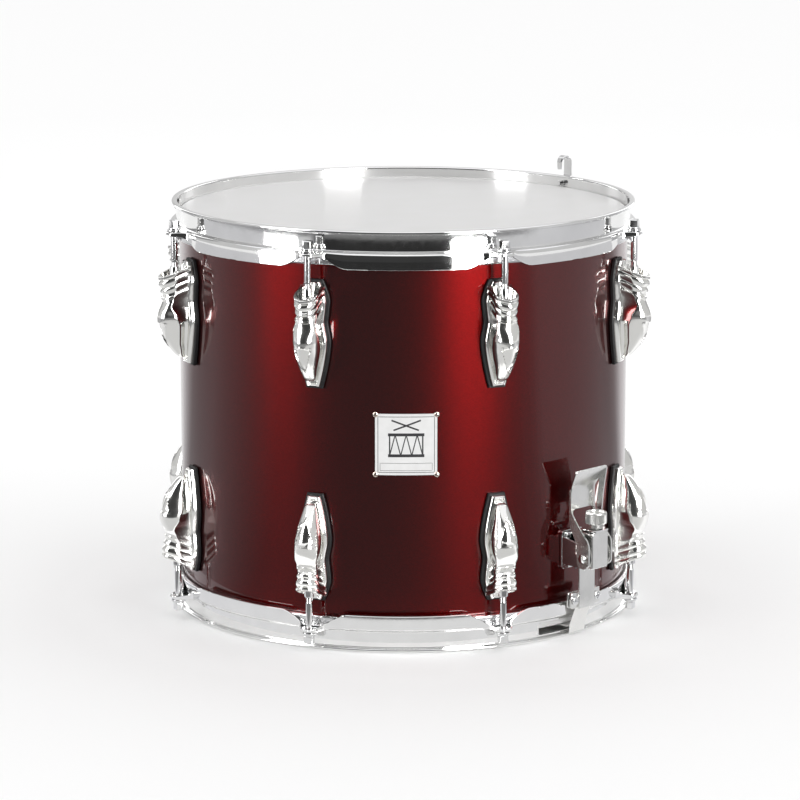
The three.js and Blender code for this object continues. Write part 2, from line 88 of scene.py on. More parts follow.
# Driving dimensions. The frame gives those that it can.
HALF_HEIGHT = size_of("batter_counter_hoop")[1].z / 2
SHELL_RADIUS = size_of("shell")[1].x
SHELL_WALL = 7
RIM_SEGMENTS = 256
BEARING_EDGE = size_of("shell")[1].z - HALF_HEIGHT
HEAD_TOP = size_of("batter_head_film")[1].z - HALF_HEIGHT
SKIRT_EDGE = size_of("batter_counter_hoop")[0].z - HALF_HEIGHT
ROD_COUNT = 8
ROD_CIRCLE, FIRST_ROD_AZIMUTH, _ = joint_station("batter_rod_1_turn")
ROD_AZIMUTHS = [FIRST_ROD_AZIMUTH + 360 / ROD_COUNT * i for i in range(ROD_COUNT)]
PIVOT_RADIUS, STRAINER_AZIMUTH, PIVOT_HEIGHT = joint_station("throw_off_swing")
THUMB_SCREW_RADIUS = joint_station("thumb_screw_turn")[0]
BUTT_AZIMUTH = STRAINER_AZIMUTH + 180
HOOK_AZIMUTH = azimuth_of(sum(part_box("sling_hook"), Vector()) / 2)
VENT_AZIMUTH = azimuth_of(sum(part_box("vent_grommet"), Vector()) / 2)

COLLAR_INNER = 177.25
COLLAR_OUTER = 178.4
FLANGE_TOP = 144.9
FLANGE_BOTTOM = 143.4
SKIRT_OUTER = 183.6
SKIRT_THICKNESS = 1.6
EAR_TIP = 197
ARCH_HALF_WIDTH = 28
ROD_RADIUS = 2.6
ROD_TIP = 88
# A turned profile starts and ends this far from its axis, where a flat cap closes it.
HUB = 0.05


# Meshes.
def turn_to(azimuth):
    """The turn about the drum's axis that brings +X to an azimuth."""
    return Matrix.Rotation(radians(azimuth - 90), 4, "Z")


def place(azimuth=90, turned_over=False):
    """The matrix from a station's millimetres to the row frame. Turned over, it serves the lower half."""
    lift = Matrix.Translation((0, 0, HALF_HEIGHT * MM))
    flip = Matrix.Rotation(pi if turned_over else 0, 4, "X")
    return lift @ turn_to(azimuth) @ flip @ Matrix.Scale(MM, 4)


def body_mesh(vertices, faces):
    """A bmesh in millimetres with its faces turned outwards."""
    bm = bmesh.new()
    made = [bm.verts.new(v) for v in vertices]
    for face in faces:
        bm.faces.new([made[i] for i in face])
    bmesh.ops.recalc_face_normals(bm, faces=bm.faces)
    return bm


def loft(loops, closed=False):
    """A skin over loops with the same number of points: capped at both ends, or closed on itself."""
    count = len(loops[0])
    vertices = [point for loop in loops for point in loop]
    faces = []
    spans = len(loops) if closed else len(loops) - 1
    for i in range(spans):
        low, high = i * count, (i + 1) % len(loops) * count
        for j in range(count):
            after = (j + 1) % count
            faces.append((low + j, low + after, high + after, high + j))
    if not closed:
        faces.append(tuple(range(count))[::-1])
        faces.append(tuple(range(len(vertices) - count, len(vertices))))
    return body_mesh(vertices, faces)


def turned(profile, segments=32, closed=False, axis="z", centre=(0, 0, 0)):
    """A solid of revolution of [radius, height] points. A closed profile makes a ring."""
    ends = {"z": lambda r, a, h: (r * cos(a), r * sin(a), h),
            "x": lambda r, a, h: (h, r * cos(a), r * sin(a)),
            "y": lambda r, a, h: (r * sin(a), h, r * cos(a))}[axis]
    angles = [2 * pi * i / segments for i in range(segments)]
    loops = [[Vector(ends(r, a, h)) + Vector(centre) for a in angles] for r, h in profile]
    return loft(loops, closed)


def cylinder(radius, ends, segments=24, axis="x", centre=(0, 0, 0)):
    """A plain cylinder between two places on its axis, to bore a hole with."""
    return turned([(radius, end) for end in ends], segments, axis=axis, centre=centre)


def rectangle(us, vs):
    """The corners of an upright rectangle, anticlockwise."""
    return [(us[0], vs[0]), (us[1], vs[0]), (us[1], vs[1]), (us[0], vs[1])]


def arc_points(centre, radius, start, end, steps):
    """Points on an arc between two angles in degrees."""
    angles = [radians(start + (end - start) * i / steps) for i in range(steps + 1)]
    return [(centre[0] + radius * cos(a), centre[1] + radius * sin(a)) for a in angles]


def dome(radius, base, rise, step):
    """A dome's profile from its rim almost to its crown, one point every step degrees."""
    angles = [radians(angle) for angle in range(0, 90, step)]
    return [(radius * cos(a), base + rise * sin(a)) for a in angles]


def rounded(points, radius, steps, closed=True):
    """An outline with its corners rounded off."""
    made = []
    count = len(points)
    for i, point in enumerate(points):
        if not closed and i in (0, count - 1):
            made.append(tuple(point))
            continue
        corner = Vector(point)
        before = Vector(points[i - 1]) - corner
        after = Vector(points[(i + 1) % count]) - corner
        reach = min(radius, before.length * 0.49, after.length * 0.49)
        start, end = corner + before.normalized() * reach, corner + after.normalized() * reach
        for step in range(steps + 1):
            t = step / steps
            made.append(tuple(start * (1 - t) ** 2 + corner * 2 * t * (1 - t) + end * t * t))
    return made


def smooth_curve(points, steps):
    """Points on a curve through the given ones."""
    made = []
    for i in range(len(points) - 1):
        p0 = Vector(points[max(i - 1, 0)])
        p1, p2 = Vector(points[i]), Vector(points[i + 1])
        p3 = Vector(points[min(i + 2, len(points) - 1)])
        for step in range(steps):
            t = step / steps
            made.append(tuple(0.5 * ((2 * p1) + (p2 - p0) * t + (2 * p0 - 5 * p1 + 4 * p2 - p3) * t * t
                                     + (3 * p1 - p0 - 3 * p2 + p3) * t ** 3)))
    made.append(tuple(points[-1]))
    return made


def inset(outline, distance):
    """An outline, listed anticlockwise, moved inwards by a distance."""
    made = []
    for i, point in enumerate(outline):
        before, after = Vector(outline[i - 1]), Vector(outline[(i + 1) % len(outline)])
        into = (Vector(point) - before).normalized()
        away = (after - Vector(point)).normalized()
        middle = (into + away).normalized()
        normal = Vector((-middle.y, middle.x))
        made.append(tuple(Vector(point) + normal * distance / max(0.5, middle.dot(into))))
    return made


def plate(outline, near, far, plane, edge=0.3, bend_radius=None):
    """An outline given a thickness, with its edges broken. Plane yz has [side, up] points and a depth in
    X, plane xz has [out, up] points and a width in Y, plane xy has [out, side] points and a height."""
    area = sum(a[0] * b[1] - b[0] * a[1] for a, b in zip(outline, outline[1:] + outline[:1]))
    outline = outline if area > 0 else outline[::-1]
    corner = {"yz": lambda u, v, d: (d, u, v),
              "xz": lambda u, v, d: (u, d, v),
              "xy": lambda u, v, d: (u, v, d)}[plane]
    inner = inset(outline, edge)
    levels = [(inner, near), (outline, near + edge), (outline, far - edge), (inner, far)]
    bm = loft([[corner(u, v, depth) for u, v in line] for line, depth in levels])
    if bend_radius:
        bend_round_axis(bm, bend_radius)
    return bm


def bend_round_axis(bm, radius):
    """Rolls a flat piece onto the drum: X stays the distance from the axis and Y becomes the arc."""
    for vertex in bm.verts:
        out, side, _ = vertex.co
        vertex.co.x = out * cos(side / radius)
        vertex.co.y = out * sin(side / radius)


def block(xs, ys, zs, edge):
    """A block with broken edges."""
    return plate(rounded(rectangle(ys, zs), edge * 2, 3), *xs, "yz", edge)


def strap(line, width, thickness, edge):
    """A flat strap along a line of [out, up] points, its width in Y. A list gives a width at each point."""
    widths = width if isinstance(width, list) else [width] * len(line)
    loops = []
    for i, (point, wide) in enumerate(zip(line, widths)):
        before, after = Vector(line[max(i - 1, 0)]), Vector(line[min(i + 1, len(line) - 1)])
        along = (after - before).normalized()
        across = Vector((-along.y, along.x))
        half, side = thickness / 2, wide / 2
        section = [(-side, -half + edge), (-side + edge, -half), (side - edge, -half), (side, -half + edge),
                   (side, half - edge), (side - edge, half), (-side + edge, half), (-side, half - edge)]
        loops.append([(point[0] + across.x * v, u, point[1] + across.y * v) for u, v in section])
    return loft(loops)


def strip(route, width, thickness, edge, radius, steps=5):
    """A strap along a route whose corners are rounded."""
    return strap(rounded(route, radius, steps, closed=False), width, thickness, edge)


def curved_plate(sides, heights, depths, corner, edge=0.3):
    """A plate that lies round the shell: [from, to] along the arc, in height and in radius."""
    quarter, spans = arc_points((corner, corner), corner, 180, 270, 5), 12
    first, last = sides[0] + corner, sides[1] - corner
    columns = [(sides[0] + inward, cut) for inward, cut in quarter]
    columns += [(first + (last - first) * i / spans, 0) for i in range(1, spans)]
    columns += [(sides[1] - inward, cut) for inward, cut in quarter[::-1]]
    near, front = depths
    loops = []
    for side, cut in columns:
        inward = min(side - sides[0], sides[1] - side)
        far = front - max(0, edge - inward)
        low, high = heights[0] + cut, heights[1] - cut
        section = [(near, low), (far - edge, low), (far, low + edge), (far, high - edge), (far - edge, high),
                   (near, high)]
        loops.append([(out, side, up) for out, up in section])
    bm = loft(loops)
    bend_round_axis(bm, front)
    return bm


def round_shell(bm, arc):
    """Moves a solid made at the station's middle along the shell by an arc."""
    bm.transform(Matrix.Rotation(arc / SHELL_RADIUS, 4, "Z"))
    return bm


def slotted_screw(head_radius, head, shank_radius, tip, middle, slot_angle):
    """A screw along X with a domed, slotted head between two depths, and a shank from its tip."""
    low, high = head
    rise, point, broken, slot_depth, slot_half = (high - low) * 0.55, 0.4, 0.25, 0.85, 0.45
    profile = [(HUB, tip), (shank_radius - point, tip), (shank_radius, tip + point), (shank_radius, low),
               (head_radius - broken, low), (head_radius, low + broken)]
    profile += dome(head_radius, high - rise, rise, 15) + [(HUB, high)]
    past = head_radius + 1
    slot = block((high - slot_depth, high + 1), (-slot_half, slot_half), (-past, past), 0.05)
    slot.transform(Matrix.Rotation(radians(slot_angle), 4, "X"))
    screw = combined(turned(profile, 28, axis="x"), [slot])
    screw.transform(Matrix.Translation((0, *middle)))
    return screw


def joined(*parts):
    """Separate solids as one mesh."""
    whole = bmesh.new()
    for part in parts:
        mesh = bpy.data.meshes.new("part")
        part.to_mesh(mesh)
        part.free()
        whole.from_mesh(mesh)
        bpy.data.meshes.remove(mesh)
    return whole


def linked(name, data):
    """A new object in the scene for a datablock."""
    made = bpy.data.objects.new(name, data)
    bpy.context.scene.collection.objects.link(made)
    return made


def combined(base, tools, operation="DIFFERENCE"):
    """A solid with others cut from it or united with it."""
    for tool in tools:
        objects = []
        for part in (base, tool):
            mesh = bpy.data.meshes.new("part")
            bmesh.ops.remove_doubles(part, verts=part.verts, dist=1e-3)
            part.to_mesh(mesh)
            part.free()
            objects.append(linked("part", mesh))
        modifier = objects[0].modifiers.new("combine", "BOOLEAN")
        modifier.object = objects[1]
        modifier.operation = operation
        modifier.solver = "EXACT"
        graph = bpy.context.evaluated_depsgraph_get()
        result = bpy.data.meshes.new_from_object(objects[0].evaluated_get(graph))
        base = bmesh.new()
        base.from_mesh(result)
        bpy.data.meshes.remove(result)
        for used in objects:
            mesh = used.data
            bpy.data.objects.remove(used)
            bpy.data.meshes.remove(mesh)
    return base


def shaded(bm, sharp_angle=32, slots_by_face=None):
    """A mesh datablock shaded smooth, with its hard edges kept sharp."""
    bmesh.ops.remove_doubles(bm, verts=bm.verts, dist=1e-4)
    limit = radians(sharp_angle)
    for face in bm.faces:
        face.smooth = True
        if slots_by_face:
            face.material_index = slots_by_face(face)
    for edge in bm.edges:
        edge.smooth = len(edge.link_faces) == 2 and edge.calc_face_angle(0) < limit
    mesh = bpy.data.meshes.new("piece")
    bm.to_mesh(mesh)
    bm.free()
    return mesh


def piece(name, mesh, where, materials, body, slot=None, *stands_for):
    """A named piece of the object that rides on a CAD body and may stand for CAD nodes."""
    mesh = mesh.copy()
    mesh.name = name
    mesh.transform(where)
    for material in materials if isinstance(materials, list) else [materials]:
        mesh.materials.append(material)
    made = linked(name, mesh)
    modifier = made.modifiers.new("face_weighted_normals", "WEIGHTED_NORMAL")
    modifier.keep_sharp = True
    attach(made, body)
    if stands_for:
        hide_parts(*stands_for)


# Materials.
def new_node(tree, kind, inputs=None, **settings):
    """A node whose inputs are given as values or as other nodes' outputs."""
    node = tree.nodes.new(kind)
    for key, value in settings.items():
        setattr(node, key, value)
    for key, value in (inputs or {}).items():
        if isinstance(value, bpy.types.NodeSocket):
            tree.links.new(value, node.inputs[key])
        else:
            node.inputs[key].default_value = value
    return node


class Nodes:
    """A material's node tree with its Principled shader."""

    def __init__(self, name, **sockets):
        self.material = bpy.data.materials.new(name)
        self.material.use_nodes = True
        self.tree = self.material.node_tree
        self.shader = self.tree.nodes["Principled BSDF"]
        self.place = self.add("ShaderNodeTexCoord").outputs["Object"]
        for socket, value in sockets.items():
            self.shader.inputs[socket.replace("_", " ")].default_value = value

    def add(self, kind, inputs=None, **settings):
        return new_node(self.tree, kind, inputs, **settings)

    def noise(self, scale, detail=2.0, stretch=None, roughness=0.5):
        vector = self.place
        if stretch:
            vector = self.add("ShaderNodeMapping", {"Vector": vector, "Scale": stretch}).outputs[0]
        inputs = {"Vector": vector, "Scale": scale, "Detail": detail, "Roughness": roughness}
        return self.add("ShaderNodeTexNoise", inputs).outputs["Fac"]

    def spread(self, value, low, high, start=0.3, end=0.7):
        """A value between start and end carried over to low and high."""
        inputs = {"Value": value, "From Min": start, "From Max": end, "To Min": low, "To Max": high}
        return self.add("ShaderNodeMapRange", inputs).outputs[0]

    def ramp(self, value, stops):
        node = self.add("ShaderNodeValToRGB", {"Fac": value})
        elements = node.color_ramp.elements
        while len(elements) < len(stops):
            elements.new(0.5)
        for element, (position, color) in zip(elements, stops):
            element.position = position
            element.color = (*color, 1)
        return node.outputs["Color"]

    def link(self, socket, value):
        self.tree.links.new(value, self.shader.inputs[socket])

    def color(self, value, low, high, start=0.3, end=0.7):
        """The base colour, from low to high where the value runs from start to end."""
        self.link("Base Color", self.ramp(value, [(start, low), (end, high)]))

    def rough(self, value, low, high, start=0.3, end=0.7):
        self.link("Roughness", self.spread(value, low, high, start, end))

    def bump(self, height, strength, distance):
        inputs = {"Height": height, "Strength": strength, "Distance": distance}
        self.link("Normal", self.add("ShaderNodeBump", inputs).outputs["Normal"])


def metal(name, color, rough_low, rough_high, scale=180.0, bump=0.02, stretch=None):
    """A bright metal whose polish varies a little over its surface."""
    nodes = Nodes(name, Metallic=1.0)
    cloud = nodes.noise(scale, 3.0, stretch)
    nodes.color(nodes.noise(scale / 5), tuple(0.93 * c for c in color), color)
    nodes.rough(cloud, rough_low, rough_high)
    nodes.bump(cloud, bump, 0.0001)
    return nodes.material


def lacquer_material():
    """Wine red metallic lacquer: fine flakes of several reds under a clear coat."""
    nodes = Nodes("lacquer", Metallic=1.0, Coat_Weight=1.0, Coat_Roughness=0.02, Coat_IOR=1.55)
    flakes = nodes.add("ShaderNodeTexVoronoi", {"Vector": nodes.place, "Scale": 2400.0})
    shade = nodes.add("ShaderNodeSeparateColor", {"Color": flakes.outputs["Color"]}).outputs[0]
    cloud = nodes.spread(nodes.noise(14.0), 0.9, 1.0)
    mixed = nodes.add("ShaderNodeMath", {0: shade, 1: cloud}, operation="MULTIPLY").outputs[0]
    reds = [(0.0, (0.068, 0.0009, 0.0009)), (0.5, (0.088, 0.0012, 0.0012)), (1.0, (0.112, 0.0017, 0.0017))]
    nodes.link("Base Color", nodes.ramp(mixed, reds))
    nodes.rough(shade, 0.29, 0.34, 0, 1)
    nodes.bump(shade, 0.06, 0.0001)
    return nodes.material


def plywood_material():
    """Pale wood with its grain running up the drum."""
    nodes = Nodes("plywood", Roughness=0.6)
    grain = nodes.noise(60.0, 5.0, (1.0, 1.0, 0.08), 0.6)
    nodes.color(grain, (0.33, 0.2, 0.1), (0.58, 0.4, 0.24))
    nodes.bump(grain, 0.25, 0.0002)
    return nodes.material


def film_material():
    """Smooth white coated film."""
    nodes = Nodes("head_film", Specular_IOR_Level=0.14)
    cloud = nodes.noise(38.0, 4.0)
    nodes.color(cloud, (0.705, 0.7, 0.695), (0.735, 0.73, 0.73))
    nodes.rough(cloud, 0.3, 0.38)
    return nodes.material


def rubber_material():
    """Black moulded rubber."""
    nodes = Nodes("gasket_rubber", Specular_IOR_Level=0.35)
    grain = nodes.noise(700.0, 3.0)
    nodes.color(grain, (0.006, 0.006, 0.007), (0.014, 0.013, 0.014))
    nodes.rough(grain, 0.42, 0.58)
    nodes.bump(grain, 0.15, 0.0002)
    return nodes.material


def enamel_material(name, low, high):
    """Stoved enamel."""
    nodes = Nodes(name, Coat_Weight=0.4, Coat_Roughness=0.06)
    cloud = nodes.noise(160.0, 3.0)
    nodes.color(cloud, low, high)
    nodes.rough(cloud, 0.28, 0.38)
    nodes.bump(cloud, 0.03, 0.0001)
    return nodes.material


def ribbon_material():
    """Closely woven white tape."""
    nodes = Nodes("ribbon_weave", Roughness=0.62)
    wave = {"Vector": nodes.place, "Scale": 420.0, "Distortion": 0.4}
    warp = nodes.add("ShaderNodeTexWave", wave, bands_direction="X").outputs["Fac"]
    weft = nodes.add("ShaderNodeTexWave", wave, bands_direction="Z").outputs["Fac"]
    weave = nodes.add("ShaderNodeMath", {0: warp, 1: weft}, operation="MULTIPLY").outputs[0]
    nodes.color(weave, (0.74, 0.735, 0.72), (0.88, 0.88, 0.87), 0.0)
    nodes.bump(weave, 0.3, 0.0002)
    return nodes.material


LACQUER = lacquer_material()
PLYWOOD = plywood_material()
FILM = film_material()
RUBBER = rubber_material()
CHROME = metal("chrome", (0.86, 0.86, 0.855), 0.035, 0.075)
LUG_CHROME = metal("lug_chrome", (0.9, 0.895, 0.87), 0.1, 0.17, 120.0, 0.04)
STEEL = metal("steel", (0.8, 0.8, 0.8), 0.07, 0.13, 400.0, 0.04, (1.0, 1.0, 0.15))
ALUMINIUM = metal("aluminium", (0.86, 0.86, 0.87), 0.14, 0.24, 300.0, 0.04, (1.0, 1.0, 6.0))
SATIN_PLATE = metal("satin_plate", (0.87, 0.87, 0.85), 0.16, 0.26, 300.0, 0.04)
BRASS = metal("brass", (0.72, 0.53, 0.27), 0.18, 0.3, 260.0, 0.03)
ENAMEL = enamel_material("badge_enamel", (0.82, 0.82, 0.815), (0.87, 0.87, 0.865))
PRINT = enamel_material("badge_print", (0.03, 0.03, 0.034), (0.045, 0.044, 0.048))
KNOB_METAL = metal("knob_metal", (0.6, 0.6, 0.585), 0.3, 0.4, 300.0, 0.04)
PIN_METAL = metal("badge_pin", (0.86, 0.74, 0.66), 0.16, 0.26, 260.0, 0.03)
SNARE_STEEL = metal("snare_steel", (0.74, 0.73, 0.71), 0.16, 0.26, 400.0, 0.03)
TAPE = ribbon_material()


# Shell.
def add_shell():
    inner = SHELL_RADIUS - SHELL_WALL
    bevel, crest, inner_cut = 2.2, 1.2, 3.5
    crown = [(SHELL_RADIUS, BEARING_EDGE - bevel), (SHELL_RADIUS - bevel, BEARING_EDGE),
             (SHELL_RADIUS - bevel - crest, BEARING_EDGE), (inner, BEARING_EDGE - inner_cut)]
    foot = [(radius, -height) for radius, height in crown[::-1]]
    hole = cylinder(6.9, (inner - 9, SHELL_RADIUS + 4), 32)
    hole.transform(turn_to(VENT_AZIMUTH))
    tube = combined(turned(crown + foot, 288, closed=True), [hole])
    lacquered = SHELL_RADIUS - 0.8
    outside = lambda face: 0 if face.calc_center_median().xy.length > lacquered else 1
    piece("drum_shell", shaded(tube, 25, outside), place(), [LACQUER, PLYWOOD], "drum", "lacquer", "shell")
    bore, barrel, flange = 5, 6.5, 9
    inside = [(bore, 167), (flange - 0.6, 167), (flange, 167.3), (flange, 168.1), (barrel, 168.2)]
    front = [(barrel, 0.3), (flange, 0.35), (flange, 0.9), (flange - 0.7, 1.5), (bore + 0.6, 1.5), (bore, 1)]
    profile = inside + [(radius, SHELL_RADIUS + out) for radius, out in front]
    eyelet = shaded(turned(profile, 48, closed=True, axis="x"))
    piece("vent_eyelet", eyelet, place(VENT_AZIMUTH), CHROME, "drum", "chrome", "vent_grommet")


def add_head(side, turned_over):
    """A film over the bearing edge and the flesh hoop that holds its skirt."""
    where = place(turned_over=turned_over)
    wall, bend, skirt_end = 0.4, 2.6, 136
    inside, radius = HEAD_TOP - 0.5, SHELL_RADIUS + 0.3
    rings = [0.02, 60, 120]
    under = arc_points((radius - bend, inside - bend), bend, 90, 0, 8)
    over = arc_points((radius - bend, HEAD_TOP - bend - wall), bend + wall, 0, 90, 8)
    profile = [(r, inside) for r in rings] + under + [(radius, skirt_end), (radius + wall, skirt_end)]
    profile += over + [(r, HEAD_TOP) for r in rings[::-1]]
    film = shaded(turned(profile, RIM_SEGMENTS, closed=True), 40)
    piece(f"{side}_film", film, where, FILM, "drum", "head_film", f"{side}_head_film")
    channel = rounded(rectangle((COLLAR_INNER, 181.6), (134.5, 143.1)), 1.3, 5)
    ring = shaded(turned(channel, RIM_SEGMENTS, closed=True))
    piece(f"{side}_flesh_ring", ring, where, ALUMINIUM, "drum", "aluminium", f"{side}_flesh_hoop")


# Counter hoops.
def hoop_column(offset):
    """The hoop's section at a distance along the rim from the nearest rod, as [radius, height] points:
    a collar with a rolled lip, a flange that runs out to an ear at the rod, and a skirt that arches
    up over it."""
    ear_reach, roll, inner_lip, under_lip, crease, tight = 7.4, 1.45, 1.6, 0.9, 1.1, 1.7
    bump = 1 / (1 + (abs(offset) / ear_reach) ** 6)
    rim = SKIRT_OUTER + (EAR_TIP - SKIRT_OUTER) * bump
    rise = 0.5 + 0.5 * cos(pi * min(1, abs(offset) / ARCH_HALF_WIDTH))
    edge = SKIRT_EDGE + (FLANGE_BOTTOM - 0.8 - SKIRT_EDGE) * rise
    bend = tight + 2.2 * (1 - rise)
    inner_bend = 0.35 * (bend - tight)
    fold = max(edge + 0.3, FLANGE_TOP - bend)
    skirt_in = rim - SKIRT_THICKNESS
    collar_fold = COLLAR_OUTER + crease
    return (
        [(COLLAR_INNER, FLANGE_BOTTOM), (COLLAR_INNER, 150), (COLLAR_INNER, 158.4)]
        + arc_points((COLLAR_INNER + inner_lip, HALF_HEIGHT - inner_lip), inner_lip, 180, 90, 5)
        + arc_points((SKIRT_OUTER - 3.2, HALF_HEIGHT - roll), roll, 90, -90, 12)
        + arc_points((COLLAR_OUTER + under_lip, HALF_HEIGHT - 2 * roll - under_lip), under_lip, 90, 180, 3)
        + [(COLLAR_OUTER, 150)]
        + arc_points((collar_fold, FLANGE_TOP + crease), crease, 180, 270, 5)
        + [((collar_fold + rim - bend) / 2, FLANGE_TOP)]
        + arc_points((rim - bend, FLANGE_TOP - bend), bend, 90, 25, 8)
        + [(rim + 0.05, fold), (rim + 0.1, (fold + edge) / 2), (rim + 0.15, edge + 0.4), (rim - 0.2, edge)]
        + [(skirt_in + 0.3, edge), (skirt_in, edge + 0.4), (skirt_in, FLANGE_BOTTOM - 0.15 - inner_bend)]
        + [(skirt_in - 0.4 - inner_bend, FLANGE_BOTTOM)]
    )


def hoop_offsets(pitch):
    """Distances from a rod along the rim over one pitch, close together round the ear."""
    ear, fine, coarse = ARCH_HALF_WIDTH, 72, 18
    near = [-ear + 2 * ear * i / fine for i in range(fine)]
    return near + [ear + (pitch - 2 * ear) * i / coarse for i in range(coarse)]


def hoop_mesh(gates):
    """A pressed hoop with a hole for each rod and a gate for the ribbon at each azimuth in gates."""
    pitch = 2 * pi * SKIRT_OUTER / ROD_COUNT
    columns, cutters = [], []
    for azimuth in ROD_AZIMUTHS:
        for offset in hoop_offsets(pitch):
            angle = radians(azimuth - 90) + offset / SKIRT_OUTER
            near = offset if offset < pitch / 2 else offset - pitch
            columns.append([(r * cos(angle), r * sin(angle), z) for r, z in hoop_column(near)])
        through = (FLANGE_BOTTOM - 1, FLANGE_TOP + 1)
        cutters.append(cylinder(3.4, through, axis="z", centre=(ROD_CIRCLE, 0, 0)))
        cutters[-1].transform(turn_to(azimuth))
    for azimuth in gates:
        opening = rounded(rectangle((-11, 36), (146.9, 156.3)), 3.5, 6)
        cutters.append(plate(opening, 174, 181, "yz", 0.1))
        cutters[-1].transform(turn_to(azimuth))
    return shaded(combined(loft(columns, closed=True), [joined(*cutters)]), 30)


def add_hoops():
    gates = [180 - STRAINER_AZIMUTH, 180 - BUTT_AZIMUTH]
    for side, openings, turned_over in (("batter", [], False), ("snare", gates, True)):
        piece(f"{side}_hoop", hoop_mesh(openings), place(turned_over=turned_over), CHROME, "drum", "chrome",
              f"{side}_counter_hoop")


# Lugs. Heights run from the thin end to the open mouth by the rod.
# Half width and height of the base.
LUG_OUTLINE = [(6.6, 40.2), (9.6, 52), (12.2, 66), (13.1, 77), (11.6, 86), (10.9, 91), (11.7, 98),
               (12.4, 108), (9.8, 117), (7, 123.3)]
# Height, front radius and half width of the vase: first its smooth belly, then the rings below its mouth.
VASE_BELLY = [
    (46.6, 186.5, 2.4), (47.6, 189.2, 3.8), (50, 192, 4.9), (53.5, 195, 5.9), (58, 198.3, 7.0),
    (64, 201.9, 8.5), (70, 204.2, 9.6), (76, 205.3, 10.1), (80, 205.3, 10.1), (84, 204.3, 9.7),
    (88, 202.5, 8.9), (91, 201.3, 8.3),
]
VASE_RINGS = [
    (92.5, 201.2, 8.2), (93.0, 201.9, 8.45), (94.0, 201.9, 8.45), (94.6, 201.1, 8.15), (96.6, 200.9, 8.05),
    (97.3, 201.4, 8.2), (98.2, 202.6, 8.7), (99.6, 202.9, 8.8), (100.8, 202.3, 8.6), (101.4, 201.7, 8.35),
    (102.0, 202.5, 8.7), (103.4, 203.8, 9.3), (105.2, 204.1, 9.4), (106.8, 203.5, 9.2), (107.4, 202.8, 8.9),
    (107.9, 203.9, 9.4), (108.6, 204.2, 9.55), (110.0, 204.2, 9.55), (110.4, 203.8, 9.35),
]
# Height and radius of the crease where the vase's front dome meets its side walls.
VASE_CREASE = [(46, 186), (50, 188.3), (60, 190), (72, 190.5), (80, 193), (88, 197), (92, 195), (96, 192.5),
               (111, 192.5)]
VASE_BACK = 181.5
LEAF_TIP, LEAF_TOP, LEAF_HALF_WIDTH, LEAF_DEPTH, LEAF_RIM = 55.5, 74.5, 7.4, 1.3, 0.45


def leaf_relief(side, height):
    """How far the leaf-shaped panel on the vase's belly lies behind its front, or its rim before it."""
    along = (height - LEAF_TIP) / (LEAF_TOP - LEAF_TIP)
    if not 0 < along < 1.1:
        return 0
    inward = min(LEAF_HALF_WIDTH * along ** 0.75 - abs(side), LEAF_TOP - height - 0.02 * side * side)
    sunk = min(1, max(0, inward / 0.7))
    return LEAF_RIM * exp(-(inward / 0.55) ** 2) - LEAF_DEPTH * sunk


def vase_crease(height):
    """The crease's radius at a height, eased between the places in VASE_CREASE."""
    for (low, start), (high, end) in zip(VASE_CREASE, VASE_CREASE[1:]):
        if height <= high:
            share = max(0, (height - low) / (high - low))
            return start + (end - start) * share * share * (3 - 2 * share)
    return VASE_CREASE[-1][1]


def vase_section(height, front, half):
    """A level of the vase: a dome in front of two walls that draw in towards the base. Near the mouth
    the levels tilt, so that they climb towards the base."""
    crease = min(vase_crease(height), front - 1)
    ringed = min(1, max(0, (height - 86) / 9))
    undercut = (2.4 + 0.4 * (1 - ringed)) * min(1, half / 8) * (1 - 0.85 * ringed)
    tilt = 0.38 * ringed
    angles = [radians(-90 + 180 * i / 44) for i in range(45)]
    smooth = [(crease + (front - crease) * cos(a), half * sin(a)) for a in angles]
    belly = [(out + leaf_relief(side, height), side) for out, side in smooth]
    wall = half - undercut
    right = [(crease - 0.8, half - 0.15 * undercut), ((crease + VASE_BACK) / 2, wall),
             (VASE_BACK + 1.5, wall + 0.25)]
    back = [(VASE_BACK, wall + 0.9), (VASE_BACK, -wall - 0.9)]
    left = [(out, -side) for out, side in right[::-1]]
    return [(out, side, height + tilt * (front - out)) for out, side in belly + right + back + left]


def lug_base_outline(shrink):
    right = smooth_curve(LUG_OUTLINE, 5)
    return inset(right + [(-side, up) for side, up in right[::-1]], shrink)


def lug_meshes():
    """The cast lug, its rubber gasket and the threaded insert in its mouth."""
    # How far each level of the base is drawn in, and its radius.
    levels = [(2.0, 178.8), (2.0, 181.3), (2.3, 182.3), (3.0, 183), (3.8, 183.3), (4.4, 183), (4.9, 182.2)]
    base = loft([[(out, side, up) for side, up in lug_base_outline(shrink)] for shrink, out in levels])
    vase = loft([vase_section(*level) for level in smooth_curve(VASE_BELLY, 5) + VASE_RINGS])
    bowl = [(HUB, 102.2), (3.2, 102.7), (5.6, 104.6), (7.2, 107.6), (8.1, 111.5), (8.5, 116), (8.5, 124),
            (HUB, 124)]
    cup = turned(bowl)
    cup.transform(Matrix.Translation((192.4, 0, 0)) @ Matrix.Diagonal((1.22, 1, 1, 1)))
    cast = combined(combined(base, [vase], "UNION"), [cup])
    gasket = plate(lug_base_outline(0.2), 176.35, 179.3, "yz", 0.5, SHELL_RADIUS)
    bore, tube = 2.75, 3.75
    sleeve = [(bore, 98), (tube, 98.3), (tube, 102.5), (5.6, 103.2), (5.7, 104.4), (5.0, 105.6), (4.3, 108.5),
              (3.8, 111.5), (tube, 117.3), (3.3, 117.9), (bore, 117.9)]
    insert = turned(sleeve, closed=True, centre=(ROD_CIRCLE, 0, 0))
    return shaded(cast, 34), shaded(gasket, 40), shaded(insert, 40)


def thread(start, end, crest, root):
    """The rings of a thread between two heights, as [radius, height] points."""
    pitch = 0.8
    rings = []
    for i in range(int((end - start) / pitch)):
        rings += [(crest, start + pitch * i), (root, start + pitch * (i + 0.5))]
    return rings


